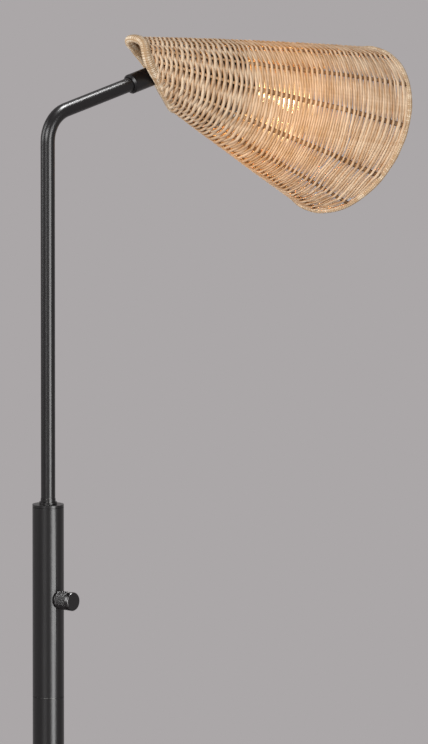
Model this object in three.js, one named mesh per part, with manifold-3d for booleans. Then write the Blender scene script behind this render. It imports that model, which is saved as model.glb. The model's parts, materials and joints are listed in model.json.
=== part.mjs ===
// A reading floor lamp: a weighted round base, a sectioned pole with a rotary switch, a bent riser that
// turns on the pole, and a tapered woven shade that tilts on a knuckle at the arm's end.
// Millimetres, +Z up. The origin is the centre of the base's underside, and the arm reaches along +X.

import * as THREE from 'three';
import { mergeVertices } from 'three/addons/utils/BufferGeometryUtils.js';
import Module from 'manifold-3d';

const wasm = await Module();
wasm.setup();

// Clearances and cutting overrun
const seat = 0.3; // between pieces that rest on, screw into or turn in each other
const overrun = 2; // how far a cutting tool passes its workpiece
const weld = 0.0003; // corners nearer than this are one corner

// Base
const baseRadius = 127;
const baseHeight = 22;
const coverWall = 1.5;
const coverLip = 1; // the cover's edge stays this far off the floor
const coverSide = 12.5; // height at which the shoulder starts
const shoulderRadius = 5;
const shoulderDegrees = 75;
const hubRadius = 18;
const feltThickness = 2;
const recessRadius = 17;
const recessDepth = 9.3;
const channelRoom = 1; // round the inlet bushing
const inletHeight = 7;
const inletRadius = 3.4;
const inletBore = 2.4;
const inletFlange = 4.8;
const inletFlangeDepth = 1.8;
const inletLength = 9;

// Threaded tubes, their nuts and washers
const nippleRadius = 5;
const nippleBore = 2.3;
const nutAcross = 15;
const nutThickness = 5;
const washerRadius = 9.4;
const washerThickness = 1.6;
const baseNippleLength = 40;

// Pole: two equal lower sections and a short one that holds the switch
const poleRadius = 14;
const poleWall = 1.2;
const lowerSection = 446;
const switchSection = 172;
const couplerLength = 42;
const couplerBore = 8;
const footInsertLength = 26;
const capRim = 2.5;
const capDepth = 18;

// Turning joint on the pole's top
const flangeRadius = 7.9;
const flangeHeight = 2;
const collarRadius = 6.7;
const collarHeight = 2.4;
const riserNippleRise = 24; // how far the nipple stands up into the riser
const riserNippleBelowPin = 3.3;
const stopPinRadius = 1.2;
const stopPinDrop = 4; // below the lock nut
const stopPinReach = 11.6;
const stopLugWidth = 3;
const stopLugInner = 10.2;
const stopLugBelowPin = 2.4;

// Riser and arm: one bent tube
const tubeRadius = 6.4;
const tubeWall = 1;
const cornerHeight = 344.8; // of the bend's virtual corner, above the pole's top
const armReach = 148; // from that corner to the shade's pivot
const armRiseDegrees = 12;
const bendRadius = 27;

// Rotary switch
const switchDrop = 84.4; // below the pole's top
const knobTurnDegrees = -85; // about the pole, from the arm's direction
const switchBodyDepth = 16.5;
const switchBodyWidth = 15;
const switchBodyHeight = 27;
const bushingRadius = 4.7;
const bushingLength = 11;
const shaftRadius = 3;
const switchNutAcross = 11;
const switchNutThickness = 2.6;
const knobRadius = 8.3;
const knobLength = 16.2;
const knobChamfer = 1.1;
const knobRecessRadius = 6.9;
const knobRecessDepth = 6.5;
const knobFace = 2;
const setScrewRadius = 1.5;
const setScrewShare = 0.62; // of the knob's length

// Knuckle at the arm's end
const sleeveRadius = 8.9;
const sleeveBack = 48; // from the pivot to the sleeve's back end
const sleeveChamfer = 1.6;
const sleeveGrip = 29; // length of arm tube inside
const forkDepth = 12; // from the pivot to the root of the slot
const tongueThickness = 4.8;
const frictionWasherThickness = 0.8;
const tongueRadius = 7.8;
const tongueReach = 22;
const tongueHeight = 11;
const tongueBossRadius = 8;
const tongueBossLength = 9;
const pivotRadius = 2;
const pivotHeadRadius = 4.2;
const pivotHeadHeight = 2.4;
const pivotNutAcross = 7;
const pivotNutThickness = 3;
const spotFaceDepth = 1.1; // of the flats that the screw's head and the nut sit in
const frictionWasherRadius = 6.6;

// Socket, measured along the shade's axis from the pivot
const socketNippleLength = 19;
const socketNutAcross = 14;
const socketNutThickness = 3;
const capNeckRadius = 8;
const capNeckLength = 5;
const capRadius = 17.6;
const capWall = 1.3;
const capLength = 21;
const bodyRadius = 18;
const bodyLength = 42;
const bodyFloor = 4;
const bodyFloorAt = 10; // behind the shade's plate
const bodyBore = 14.7;
const bodyFlangeRadius = 22;
const bodyFlangeThickness = 3;
const shadeRingRadius = 22.4;
const shadeRingHeight = 7;
const screwShellRadius = 14.2;
const screwShellWall = 0.5;
const screwShellLength = 23;
const screwShellHole = 5.4; // in its floor, round the centre contact
const contactRadius = 3.4;
const contactHeight = 2.4;

// Bulb
const bulbCapRadius = 13.2;
const bulbCapWall = 0.5;
const bulbCapLength = 24;
const bulbTipRadius = 4.2;
const bulbTipHeight = 2.4;
const globeRadius = 30;
const globeFromCap = 55; // from the cap's front edge to the globe's centre
const glassWall = 1;
const glassNeckRadius = 12.2;
const glassNeckDepth = 14;
const stemFoot = 10.6;
const stemFootLength = 3;
const stemRadius = 2.4;
const stemLength = 78;
const holderRadius = 8.4;
const holderThickness = 1.6;
const holderFromFoot = 30;
const filamentRadius = 0.9;
const filamentRing = 6.6;
const filamentCount = 4;

// Shade: a tapered woven shell whose mouth is cut at a slant, turned about the shade's own axis
const shadeDropDegrees = 19; // of the axis, below level
const shadeRadiusAtPivot = 27.5;
const shadeTaperDegrees = 12.66;
const weaveWall = 5; // at a stake, where a strand passes on each side of it
const wallDrawIn = 1.5; // of each face, midway between stakes
const drawInSharpness = 2.4; // how soon the wall thins beside a stake
const stakeCount = 12;
const seenStakesDegrees = [230, 261, 299, 330]; // the others stand evenly over the hidden side
const mouthAt = -28.4;
const mouthSlantDegrees = 59.8;
const mouthTurnDegrees = 29.5;
const mouthRoll = 4.4;
const mouthHoopRadius = 1.4;
const rimAt = 227.7;
const rimSlantDegrees = 6.8;
const rimTurnDegrees = 180;
const rimRoll = 3;
const rimHoopRadius = 1.2;
const plateAt = 66;
const plateThickness = 2;
const plateHoopRadius = 1.5;

// Leads inside the tubes
const leadRadius = 1.9;

// Facets
const poleSides = 26;
const roundSides = 18;
const smallSides = 12;
const wireSides = 6;
const shadeSides = 40;
const sidesPerStake = 4;
const bendSteps = 9;
const rollSides = 6;
const glassSteps = 5;
const domeSteps = 4;
const shoulderSteps = 3;

const radians = THREE.MathUtils.degToRad;
const up = new THREE.Vector3(0, 0, 1);

// Finishes
const finish = (color, roughness, metalness) =>
  new THREE.MeshStandardMaterial({ color, roughness, metalness });
const blackMetal = finish(0x2b2829, 0.45, 0.5);
const bareSteel = finish(0xa9a9ab, 0.35, 1);
const brass = finish(0xb08d4c, 0.35, 1);
const iron = finish(0x4a4a4c, 0.8, 0.6);
const felt = finish(0x2a2a2a, 1, 0);
const blackPlastic = finish(0x1c1c1d, 0.5, 0);
const rattan = finish(0xc9a67c, 0.65, 0);
const paleRattan = finish(0xd6b88c, 0.6, 0);
const glass = finish(0xf4efe4, 0.08, 0);
const glow = finish(0xffd48a, 0.4, 0);

const lamp = new THREE.Group();

function piece(parent, name, geometry, material) {
  const mesh = new THREE.Mesh(geometry, material);
  mesh.name = name;
  parent.add(mesh);
  return mesh;
}

// One closed surface: shared corners merged, faces turned outwards
function closed(geometry) {
  const bare = geometry.index ? geometry.toNonIndexed() : geometry.clone();
  bare.deleteAttribute('normal');
  bare.deleteAttribute('uv');
  const merged = mergeVertices(bare, weld);
  const at = merged.attributes.position;
  const index = Array.from(merged.index.array);
  const kept = [];
  let volume = 0;
  const [a, b, c] = [new THREE.Vector3(), new THREE.Vector3(), new THREE.Vector3()];
  for (let i = 0; i < index.length; i += 3) {
    const [p, q, r] = index.slice(i, i + 3);
    if (p === q || q === r || r === p) continue;
    kept.push(p, q, r);
    a.fromBufferAttribute(at, p);
    b.fromBufferAttribute(at, q);
    c.fromBufferAttribute(at, r);
    volume += a.dot(b.cross(c));
  }
  if (volume < 0) kept.reverse();
  merged.setIndex(kept);
  return merged;
}

function toSolid(geometry) {
  const mesh = closed(geometry);
  return new wasm.Manifold(new wasm.Mesh({
    numProp: 3,
    vertProperties: new Float32Array(mesh.attributes.position.array),
    triVerts: new Uint32Array(mesh.index.array),
  }));
}

function toGeometry(solid) {
  const mesh = solid.getMesh();
  const geometry = new THREE.BufferGeometry();
  geometry.setAttribute('position', new THREE.BufferAttribute(new Float32Array(mesh.vertProperties), 3));
  geometry.setIndex(Array.from(mesh.triVerts));
  return geometry;
}

const cut = (body, ...tools) =>
  toGeometry(tools.reduce((solid, tool) => solid.subtract(toSolid(tool)), toSolid(body)));
const join = (body, ...others) =>
  toGeometry(others.reduce((solid, other) => solid.add(toSolid(other)), toSolid(body)));
const common = (body, other) => toGeometry(toSolid(body).intersect(toSolid(other)));

// A turned piece: [radius, height] points round the profile, on the axis at both ends or closed
function turned(points, sides) {
  const profile = points.map(([radius, height]) => new THREE.Vector2(radius, height));
  const geometry = new THREE.LatheGeometry(profile, sides);
  geometry.rotateX(radians(90));
  return closed(geometry);
}

const rod = (radius, from, to, sides) =>
  turned([[0, from], [radius, from], [radius, to], [0, to]], sides);
const pipe = (outer, inner, from, to, sides) =>
  turned([[inner, from], [outer, from], [outer, to], [inner, to], [inner, from]], sides);

// Points of a round stretch of a profile
function arc(centreRadius, centreHeight, radius, fromDegrees, toDegrees, steps) {
  return Array.from({ length: steps + 1 }, (_, i) => {
    const angle = radians(THREE.MathUtils.lerp(fromDegrees, toDegrees, i / steps));
    return [centreRadius + radius * Math.cos(angle), centreHeight + radius * Math.sin(angle)];
  });
}

function block(width, depth, height, x, y, z) {
  const geometry = new THREE.BoxGeometry(width, depth, height);
  geometry.translate(x, y, z);
  return geometry;
}

function hexNut(across, from, thickness, bore) {
  const corner = across / Math.sqrt(3);
  const outline = new THREE.Shape(Array.from({ length: 6 }, (_, i) =>
    new THREE.Vector2(corner * Math.cos(radians(60 * i)), corner * Math.sin(radians(60 * i)))));
  const hole = new THREE.Path();
  hole.absarc(0, 0, bore, 0, radians(360), true);
  outline.holes.push(hole);
  const settings = { depth: thickness, bevelEnabled: false, curveSegments: smallSides / 2 };
  const geometry = new THREE.ExtrudeGeometry(outline, settings);
  geometry.translate(0, 0, from);
  return closed(geometry);
}

// A ring whose section changes round it: sectionAt(angle) gives the section's corners in order
function ring(sectionAt, count) {
  const sections = Array.from({ length: count }, (_, i) => sectionAt(radians(360 * i / count)));
  const size = sections[0].length;
  const points = sections.flat().flatMap((point) => point.toArray());
  const index = [];
  for (let i = 0; i < count; i += 1) {
    for (let j = 0; j < size; j += 1) {
      const [a, b] = [i * size + j, i * size + (j + 1) % size];
      const [c, d] = [((i + 1) % count) * size + j, ((i + 1) % count) * size + (j + 1) % size];
      index.push(a, b, d, a, d, c);
    }
  }
  const geometry = new THREE.BufferGeometry();
  geometry.setAttribute('position', new THREE.BufferAttribute(new Float32Array(points), 3));
  geometry.setIndex(index);
  return closed(geometry);
}

// Straight, round the bend, straight again: one step each way and bendSteps round the bend
class BentPath extends THREE.Curve {
  constructor(start, height, radius, rise, reach) {
    super();
    Object.assign(this, { start, height, radius, rise, reach });
    this.turn = radians(90) - rise;
    this.setback = radius * Math.tan(this.turn / 2);
    this.steps = bendSteps + 2;
  }

  getPoint(t) {
    const along = t * this.steps;
    const bendStart = this.height - this.setback;
    if (along < 1) return new THREE.Vector3(0, 0, THREE.MathUtils.lerp(this.start, bendStart, along));
    const bent = this.turn * Math.min((along - 1) / bendSteps, 1);
    const point = new THREE.Vector3(1 - Math.cos(bent), 0, Math.sin(bent)).multiplyScalar(this.radius);
    const straight = Math.max(along - 1 - bendSteps, 0) * (this.reach - this.setback);
    return point.addScaledVector(up, bendStart).addScaledVector(this.direction(), straight);
  }

  getTangent(t) {
    const bent = this.turn * THREE.MathUtils.clamp((t * this.steps - 1) / bendSteps, 0, 1);
    return new THREE.Vector3(Math.sin(bent), 0, Math.cos(bent));
  }

  direction() {
    return new THREE.Vector3(Math.cos(this.rise), 0, Math.sin(this.rise));
  }

  getPointAt(t) {
    return this.getPoint(t);
  }

  getTangentAt(t) {
    return this.getTangent(t);
  }
}

function bentTube(path, outer, inner, sides) {
  const outline = new THREE.Shape();
  outline.absarc(0, 0, outer, 0, radians(360), false);
  if (inner > 0) {
    const hole = new THREE.Path();
    hole.absarc(0, 0, inner, 0, radians(360), true);
    outline.holes.push(hole);
  }
  const settings = { steps: path.steps, extrudePath: path, curveSegments: sides / 2, bevelEnabled: false };
  return closed(new THREE.ExtrudeGeometry(outline, settings));
}

// Base: felt, cast weight, spun cover, and the stack that bolts the pole to it
function shell(inset) {
  const side = baseRadius - inset;
  const round = shoulderRadius - inset;
  return [
    ...arc(baseRadius - shoulderRadius, coverSide, round, 0, shoulderDegrees, shoulderSteps),
    [hubRadius, baseHeight - inset],
  ].map(([radius, height]) => [Math.min(radius, side), height]);
}
const coverOuter = shell(0);
const coverInner = shell(coverWall);
const weightTop = shell(coverWall + seat);
const nippleHole = nippleRadius + seat;
// From a turned piece's own +Z to inwards through the cover's rear wall
const throughRear = (geometry) => {
  geometry.rotateY(radians(90));
  geometry.translate(-baseRadius, 0, inletHeight);
  return geometry;
};

piece(lamp, 'base_felt', rod(baseRadius - coverWall - seat, 0, feltThickness, shadeSides), felt);

const weightFoot = feltThickness + seat;
const weightRadius = baseRadius - coverWall - seat;
const weightBody = turned([
  [0, weightFoot], [weightRadius, weightFoot], ...weightTop, [0, baseHeight - coverWall - seat],
], shadeSides);
const recessTop = weightFoot + recessDepth;
const channelHalf = inletRadius + channelRoom;
const channelTop = inletHeight + channelHalf;
const channel = block(baseRadius, 2 * channelHalf, channelTop,
  -(baseRadius + recessRadius) / 2, 0, channelTop / 2);
piece(lamp, 'base_weight', cut(weightBody,
  rod(nippleHole, 0, baseHeight, smallSides),
  rod(recessRadius, 0, recessTop, roundSides),
  channel), iron);

const cover = turned([
  [baseRadius, coverLip], ...coverOuter, [nippleHole, baseHeight], [nippleHole, baseHeight - coverWall],
  ...coverInner.reverse(), [baseRadius - coverWall, coverLip], [baseRadius, coverLip],
], shadeSides);
const inletHole = throughRear(rod(inletRadius + seat, -overrun, inletLength, smallSides));
piece(lamp, 'base_cover', cut(cover, inletHole), blackMetal);

const bushing = throughRear(turned([
  [inletBore, -inletFlangeDepth - seat], [inletFlange, -inletFlangeDepth - seat], [inletFlange, -seat],
  [inletRadius, -seat], [inletRadius, inletLength], [inletBore, inletLength],
  [inletBore, -inletFlangeDepth - seat],
], smallSides));
piece(lamp, 'cord_bushing', bushing, blackPlastic);

const baseWasherAt = recessTop - seat - washerThickness;
const baseNutAt = baseWasherAt - seat - nutThickness;
piece(lamp, 'base_washer',
  pipe(washerRadius, nippleHole, baseWasherAt, baseWasherAt + washerThickness, roundSides), bareSteel);
piece(lamp, 'base_nut', hexNut(nutAcross, baseNutAt, nutThickness, nippleHole), bareSteel);
const baseNippleTop = baseNutAt + baseNippleLength;
piece(lamp, 'base_nipple', pipe(nippleRadius, nippleBore, baseNutAt, baseNippleTop, smallSides), bareSteel);

// Pole sections, the plugs inside them and the cap on top
const poleBore = poleRadius - poleWall;
const plugRadius = poleBore - seat;
const firstSeam = baseHeight + lowerSection;
const secondSeam = firstSeam + lowerSection;
const poleTop = secondSeam + switchSection;
const pole = (from, to) => pipe(poleRadius, poleBore, from + seat, to, poleSides);
const coupler = (seam) =>
  pipe(plugRadius, couplerBore, seam - couplerLength / 2, seam + couplerLength / 2, poleSides);

piece(lamp, 'foot_insert',
  pipe(plugRadius, nippleHole, baseHeight + seat, baseHeight + footInsertLength, poleSides), bareSteel);
piece(lamp, 'lower_pole', pole(baseHeight, firstSeam), blackMetal);
piece(lamp, 'lower_coupler', coupler(firstSeam), bareSteel);
piece(lamp, 'middle_pole', pole(firstSeam, secondSeam), blackMetal);
piece(lamp, 'upper_coupler', coupler(secondSeam), bareSteel);

// The knob's group: local +Z points out of the pole along the switch's shaft
const switchHeight = poleTop - switchDrop;
const knobSide = new THREE.Group();
knobSide.position.z = switchHeight;
knobSide.rotation.z = radians(knobTurnDegrees);
const switchGroup = new THREE.Group();
switchGroup.rotation.y = radians(90);
knobSide.add(switchGroup);
lamp.add(knobSide);

const capBase = poleTop - capRim;
const switchHole = rod(bushingRadius + seat, 0, poleRadius + overrun, smallSides);
switchHole.rotateY(radians(90));
switchHole.rotateZ(radians(knobTurnDegrees));
switchHole.translate(0, 0, switchHeight);
piece(lamp, 'switch_pole', cut(pole(secondSeam, capBase), switchHole), blackMetal);

const capFoot = capBase - capDepth;
const riserWasherAt = capFoot - seat - washerThickness;
const riserNutAt = riserWasherAt - seat - nutThickness;
const stopPinAt = riserNutAt - stopPinDrop;
const lugFoot = stopPinAt - stopLugBelowPin;
const capBody = turned([
  [nippleHole, capFoot], [plugRadius, capFoot], [plugRadius, capBase + seat], [poleRadius, capBase + seat],
  [poleRadius, poleTop], [nippleHole, poleTop], [nippleHole, capFoot],
], poleSides);
const lugBar = block(poleRadius, stopLugWidth, capFoot + overrun - lugFoot,
  -stopLugInner - poleRadius / 2, 0, (capFoot + overrun + lugFoot) / 2);
const stopLug = common(lugBar, rod(plugRadius, lugFoot, capFoot + overrun, poleSides));
piece(lamp, 'pole_cap', join(capBody, stopLug), blackMetal);

// Turning joint: a fixed flange, then the collar, nipple, nut and stop pin that turn with the riser
const flangeTop = poleTop + seat + flangeHeight;
const collarTop = flangeTop + seat + collarHeight;
const nippleTop = collarTop + riserNippleRise;
const nippleFoot = stopPinAt - riserNippleBelowPin;
piece(lamp, 'swivel_flange',
  pipe(flangeRadius, nippleHole, poleTop + seat, flangeTop, roundSides), blackMetal);
piece(lamp, 'riser_washer',
  pipe(washerRadius, nippleHole, riserWasherAt, riserWasherAt + washerThickness, roundSides), bareSteel);
piece(lamp, 'riser_lock_nut', hexNut(nutAcross, riserNutAt, nutThickness, nippleHole), bareSteel);
piece(lamp, 'riser_collar',
  pipe(collarRadius, nippleHole, flangeTop + seat, collarTop, roundSides), blackMetal);
piece(lamp, 'riser_nipple', pipe(nippleRadius, nippleBore, nippleFoot, nippleTop, smallSides), bareSteel);
const stopPin = rod(stopPinRadius, nippleHole, stopPinReach, smallSides);
stopPin.rotateY(radians(90));
stopPin.translate(0, 0, stopPinAt);
piece(lamp, 'stop_pin', stopPin, bareSteel);

const rise = radians(armRiseDegrees);
const corner = poleTop + cornerHeight;
const armEnd = armReach - sleeveBack + sleeveGrip;
const riserPath = new BentPath(collarTop + seat, corner, bendRadius, rise, armEnd);
piece(lamp, 'riser_tube', bentTube(riserPath, tubeRadius, tubeRadius - tubeWall, roundSides), blackMetal);

// Rotary switch in the top section, its knob outside
const bodyFront = switchBodyDepth / 2;
const bushingEnd = bodyFront + seat + bushingLength;
const knobBack = poleRadius + seat;
const knobFront = knobBack + knobLength;
const shaftEnd = knobFront - knobFace - seat;
piece(switchGroup, 'switch_body',
  block(switchBodyHeight, switchBodyWidth, switchBodyDepth, 0, 0, 0), blackPlastic);
piece(switchGroup, 'switch_bushing',
  pipe(bushingRadius, shaftRadius + seat, bodyFront + seat, bushingEnd, smallSides), bareSteel);
piece(switchGroup, 'switch_nut',
  hexNut(switchNutAcross, poleRadius + seat, switchNutThickness, bushingRadius + seat), bareSteel);
piece(switchGroup, 'switch_shaft', rod(shaftRadius, bodyFront + seat, shaftEnd, smallSides), bareSteel);
const knobBore = shaftRadius + seat;
const knobBody = turned([
  [knobBore, knobBack + knobRecessDepth], [knobRecessRadius, knobBack + knobRecessDepth],
  [knobRecessRadius, knobBack], [knobRadius, knobBack], [knobRadius, knobFront - knobChamfer],
  [knobRadius - knobChamfer, knobFront], [0, knobFront], [0, shaftEnd + seat], [knobBore, shaftEnd + seat],
  [knobBore, knobBack + knobRecessDepth],
], poleSides);
const setScrewAt = knobBack + setScrewShare * knobLength;
const crossRod = (radius, from, to) => {
  const geometry = rod(radius, from, to, smallSides);
  geometry.rotateY(radians(-90));
  geometry.translate(0, 0, setScrewAt);
  return geometry;
};
piece(switchGroup, 'switch_knob',
  cut(knobBody, crossRod(setScrewRadius + seat, 0, knobRadius + overrun)), blackMetal);
piece(switchGroup, 'knob_set_screw',
  crossRod(setScrewRadius, knobBore, knobRadius - seat), bareSteel);

// Knuckle: a sleeve with a fork on the arm, local +Z along the arm and zero at the pivot
const armDirection = riserPath.direction();
const pivot = armDirection.clone().multiplyScalar(armReach).addScaledVector(up, corner);
const armGroup = new THREE.Group();
armGroup.position.copy(pivot);
armGroup.rotation.y = radians(90) - rise;
lamp.add(armGroup);

const across = (geometry) => {
  geometry.rotateX(radians(-90));
  return geometry;
};
const washerFrom = tongueThickness / 2 + seat;
const slotHalf = washerFrom + frictionWasherThickness + seat;
const pivotHole = pivotRadius + seat;
const cheek = sleeveRadius - spotFaceDepth;
const gripEnd = sleeveGrip + seat - sleeveBack;
const sleeveBody = turned([
  [leadRadius + seat, gripEnd], [tubeRadius + seat, gripEnd], [tubeRadius + seat, -sleeveBack],
  [sleeveRadius - sleeveChamfer, -sleeveBack], [sleeveRadius, sleeveChamfer - sleeveBack],
  [sleeveRadius, sleeveRadius], [leadRadius + seat, sleeveRadius], [leadRadius + seat, gripEnd],
], roundSides);
const forkRound = join(
  across(rod(sleeveRadius, -sleeveRadius, sleeveRadius, poleSides)),
  block(2 * sleeveRadius + overrun, 2 * sleeveRadius + overrun, sleeveBack + overrun,
    0, 0, -(sleeveBack + overrun) / 2));
const spotFace = (from, to) => across(rod(pivotHeadRadius + seat, from, to, roundSides));
piece(armGroup, 'arm_sleeve', cut(common(sleeveBody, forkRound),
  block(2 * sleeveRadius + overrun, 2 * slotHalf, forkDepth + sleeveRadius + overrun,
    0, 0, (sleeveRadius + overrun - forkDepth) / 2),
  spotFace(-sleeveRadius - overrun, -cheek), spotFace(cheek, sleeveRadius + overrun),
  across(rod(pivotHole, -sleeveRadius, sleeveRadius, smallSides))), blackMetal);

const screwSeat = cheek + seat;
const screwShank = across(rod(pivotRadius, -screwSeat, screwSeat + pivotNutThickness, smallSides));
const screwHead = across(rod(pivotHeadRadius, -screwSeat - pivotHeadHeight, -screwSeat, roundSides));
piece(armGroup, 'pivot_screw', join(screwShank, screwHead), bareSteel);
piece(armGroup, 'pivot_nut',
  across(hexNut(pivotNutAcross, screwSeat, pivotNutThickness, pivotHole)), bareSteel);
const frictionWasher = (side) => across(pipe(frictionWasherRadius, pivotHole,
  side > 0 ? washerFrom : -washerFrom - frictionWasherThickness,
  side > 0 ? washerFrom + frictionWasherThickness : -washerFrom, roundSides));
piece(armGroup, 'left_friction_washer', frictionWasher(-1), brass);
piece(armGroup, 'right_friction_washer', frictionWasher(1), brass);

// Everything that tilts: local +Z along the shade's axis, local +X down, zero at the pivot
const shadeGroup = new THREE.Group();
shadeGroup.position.copy(pivot);
shadeGroup.rotation.y = radians(90 + shadeDropDegrees);
lamp.add(shadeGroup);

const bossEnd = tongueReach + tongueBossLength;
const socketNippleAt = bossEnd - tongueBossLength + seat;
const tongueEye = across(rod(tongueRadius, -tongueThickness / 2, tongueThickness / 2, roundSides));
const tongueBlade = block(tongueHeight, tongueThickness, tongueReach, 0, 0, tongueReach / 2);
const tongueBoss = rod(tongueBossRadius, tongueReach - overrun, bossEnd, roundSides);
piece(shadeGroup, 'tilt_tongue', cut(join(tongueEye, tongueBlade, tongueBoss),
  rod(nippleHole, tongueReach, bossEnd + overrun, smallSides),
  across(rod(pivotHole, -tongueThickness, tongueThickness, smallSides))), blackMetal);

const socketNutAt = bossEnd + seat;
const capAt = socketNutAt + socketNutThickness + seat;
const nippleEnd = socketNippleAt + socketNippleLength;
piece(shadeGroup, 'socket_nipple',
  pipe(nippleRadius, nippleBore, socketNippleAt, nippleEnd, smallSides), bareSteel);
piece(shadeGroup, 'socket_nut',
  hexNut(socketNutAcross, socketNutAt, socketNutThickness, nippleHole), bareSteel);

// Socket: a domed cap, the body with its flange, and the ring that clamps the shade's plate
const capEnd = capAt + capLength;
const domeRadius = capRadius - capNeckRadius;
const domeAt = capAt + capNeckLength + domeRadius;
piece(shadeGroup, 'socket_cap', turned([
  [nippleHole, capAt], [capNeckRadius, capAt],
  ...arc(capNeckRadius, domeAt, domeRadius, -90, 0, domeSteps),
  [capRadius, capEnd], [capRadius - capWall, capEnd],
  ...arc(capNeckRadius, domeAt, domeRadius - capWall, 0, -90, domeSteps),
  [nippleHole, capAt + capNeckLength + capWall], [nippleHole, capAt],
], roundSides), blackMetal);

const bodyAt = capEnd + seat;
const bodyEnd = bodyAt + bodyLength;
const flangeAt = plateAt - seat - bodyFlangeThickness;
const floorTop = plateAt - bodyFloorAt + bodyFloor + seat;
piece(shadeGroup, 'socket_body', turned([
  [0, floorTop - bodyFloor], [bodyBore, floorTop - bodyFloor], [bodyBore, bodyAt], [bodyRadius, bodyAt],
  [bodyRadius, flangeAt], [bodyFlangeRadius, flangeAt], [bodyFlangeRadius, plateAt - seat],
  [bodyRadius, plateAt - seat], [bodyRadius, bodyEnd], [bodyBore, bodyEnd], [bodyBore, floorTop],
  [0, floorTop],
], roundSides), blackPlastic);
const plateEnd = plateAt + plateThickness;
piece(shadeGroup, 'shade_ring', pipe(shadeRingRadius, bodyRadius + seat,
  plateEnd + seat, plateEnd + seat + shadeRingHeight, poleSides), blackPlastic);

const contactTop = floorTop + seat + contactHeight;
piece(shadeGroup, 'centre_contact', rod(contactRadius, floorTop + seat, contactTop, smallSides), brass);
const shellFloor = floorTop + seat;
piece(shadeGroup, 'screw_shell', turned([
  [screwShellHole, shellFloor], [screwShellRadius, shellFloor],
  [screwShellRadius, shellFloor + screwShellLength],
  [screwShellRadius - screwShellWall, shellFloor + screwShellLength],
  [screwShellRadius - screwShellWall, shellFloor + screwShellWall],
  [screwShellHole, shellFloor + screwShellWall], [screwShellHole, shellFloor],
], roundSides), brass);

// Bulb: screw cap, solder tip, glass, and the stem with its filaments
const tipAt = contactTop + seat;
const bulbCapAt = tipAt + bulbTipHeight + seat;
const bulbCapEnd = bulbCapAt + bulbCapLength;
const capInner = bulbCapRadius - bulbCapWall;
piece(shadeGroup, 'bulb_tip', rod(bulbTipRadius, tipAt, tipAt + bulbTipHeight, smallSides), bareSteel);
piece(shadeGroup, 'bulb_base', turned([
  [0, bulbCapAt], [bulbTipRadius, bulbCapAt], [bulbCapRadius, bulbCapAt + bulbTipRadius],
  [bulbCapRadius, bulbCapEnd], [capInner, bulbCapEnd], [capInner, bulbCapAt + bulbTipRadius],
  [bulbTipRadius, bulbCapAt + bulbCapWall], [0, bulbCapAt + bulbCapWall],
], roundSides), bareSteel);
const globeAt = bulbCapEnd + globeFromCap;
const glassFoot = bulbCapEnd - glassNeckDepth;
// From the neck the glass swells on a smooth S into the globe, then closes on a round end
function glassProfile(inset) {
  const swell = Array.from({ length: glassSteps }, (_, i) => {
    const ease = THREE.MathUtils.smoothstep(i, 0, glassSteps);
    const radius = THREE.MathUtils.lerp(glassNeckRadius, globeRadius, ease) - inset;
    return [radius, THREE.MathUtils.lerp(bulbCapEnd, globeAt, i / glassSteps)];
  });
  const globe = arc(0, globeAt, globeRadius - inset, 0, 90, glassSteps);
  return [[glassNeckRadius - inset, glassFoot], ...swell, ...globe];
}
piece(shadeGroup, 'bulb_glass', turned([
  ...glassProfile(0), ...glassProfile(glassWall).reverse(), [glassNeckRadius, glassFoot],
], roundSides), glass);
const stemAt = glassFoot + stemFootLength;
const lowHolder = stemAt + holderFromFoot;
const highHolder = stemAt + stemLength - holderThickness;
piece(shadeGroup, 'bulb_stem', turned([
  [0, glassFoot], [stemFoot, glassFoot], [stemFoot, stemAt], [stemRadius, lowHolder],
  [holderRadius, lowHolder], [holderRadius, lowHolder + holderThickness],
  [stemRadius, lowHolder + holderThickness], [stemRadius, highHolder], [holderRadius, highHolder],
  [holderRadius, highHolder + holderThickness], [0, highHolder + holderThickness],
], smallSides), glass);
for (let i = 0; i < filamentCount; i += 1) {
  const geometry = rod(filamentRadius, lowHolder + holderThickness + seat, highHolder - seat, wireSides);
  const angle = radians(360 * i / filamentCount);
  geometry.translate(filamentRing * Math.cos(angle), filamentRing * Math.sin(angle), 0);
  piece(shadeGroup, `filament_${i + 1}`, geometry, glow);
}

// Shade: points of the tapered shell where a slanted plane cuts it
const taper = Math.tan(radians(shadeTaperDegrees));
function coneCut(inset, at, slantDegrees, turnDegrees, angle) {
  const slope = Math.tan(radians(slantDegrees)) * Math.cos(angle - radians(turnDegrees));
  const radius = (shadeRadiusAtPivot - inset + taper * at) / (1 - taper * slope);
  return new THREE.Vector3(radius * Math.cos(angle), radius * Math.sin(angle), at + slope * radius);
}
const planeNormal = (slantDegrees, turnDegrees) => new THREE.Vector3(
  -Math.sin(radians(slantDegrees)) * Math.cos(radians(turnDegrees)),
  -Math.sin(radians(slantDegrees)) * Math.sin(radians(turnDegrees)),
  Math.cos(radians(slantDegrees)));

const mouthEdge = mouthAt + (mouthRoll + seat) / Math.cos(radians(mouthSlantDegrees));
const rimEdge = rimAt - (rimRoll + seat) / Math.cos(radians(rimSlantDegrees));
const hiddenStep = (360 + seenStakesDegrees[0] - seenStakesDegrees.at(-1))
  / (stakeCount - seenStakesDegrees.length + 1);
const stakeDegrees = [...seenStakesDegrees];
while (stakeDegrees.length <= stakeCount) stakeDegrees.push(stakeDegrees.at(-1) + hiddenStep);

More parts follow.
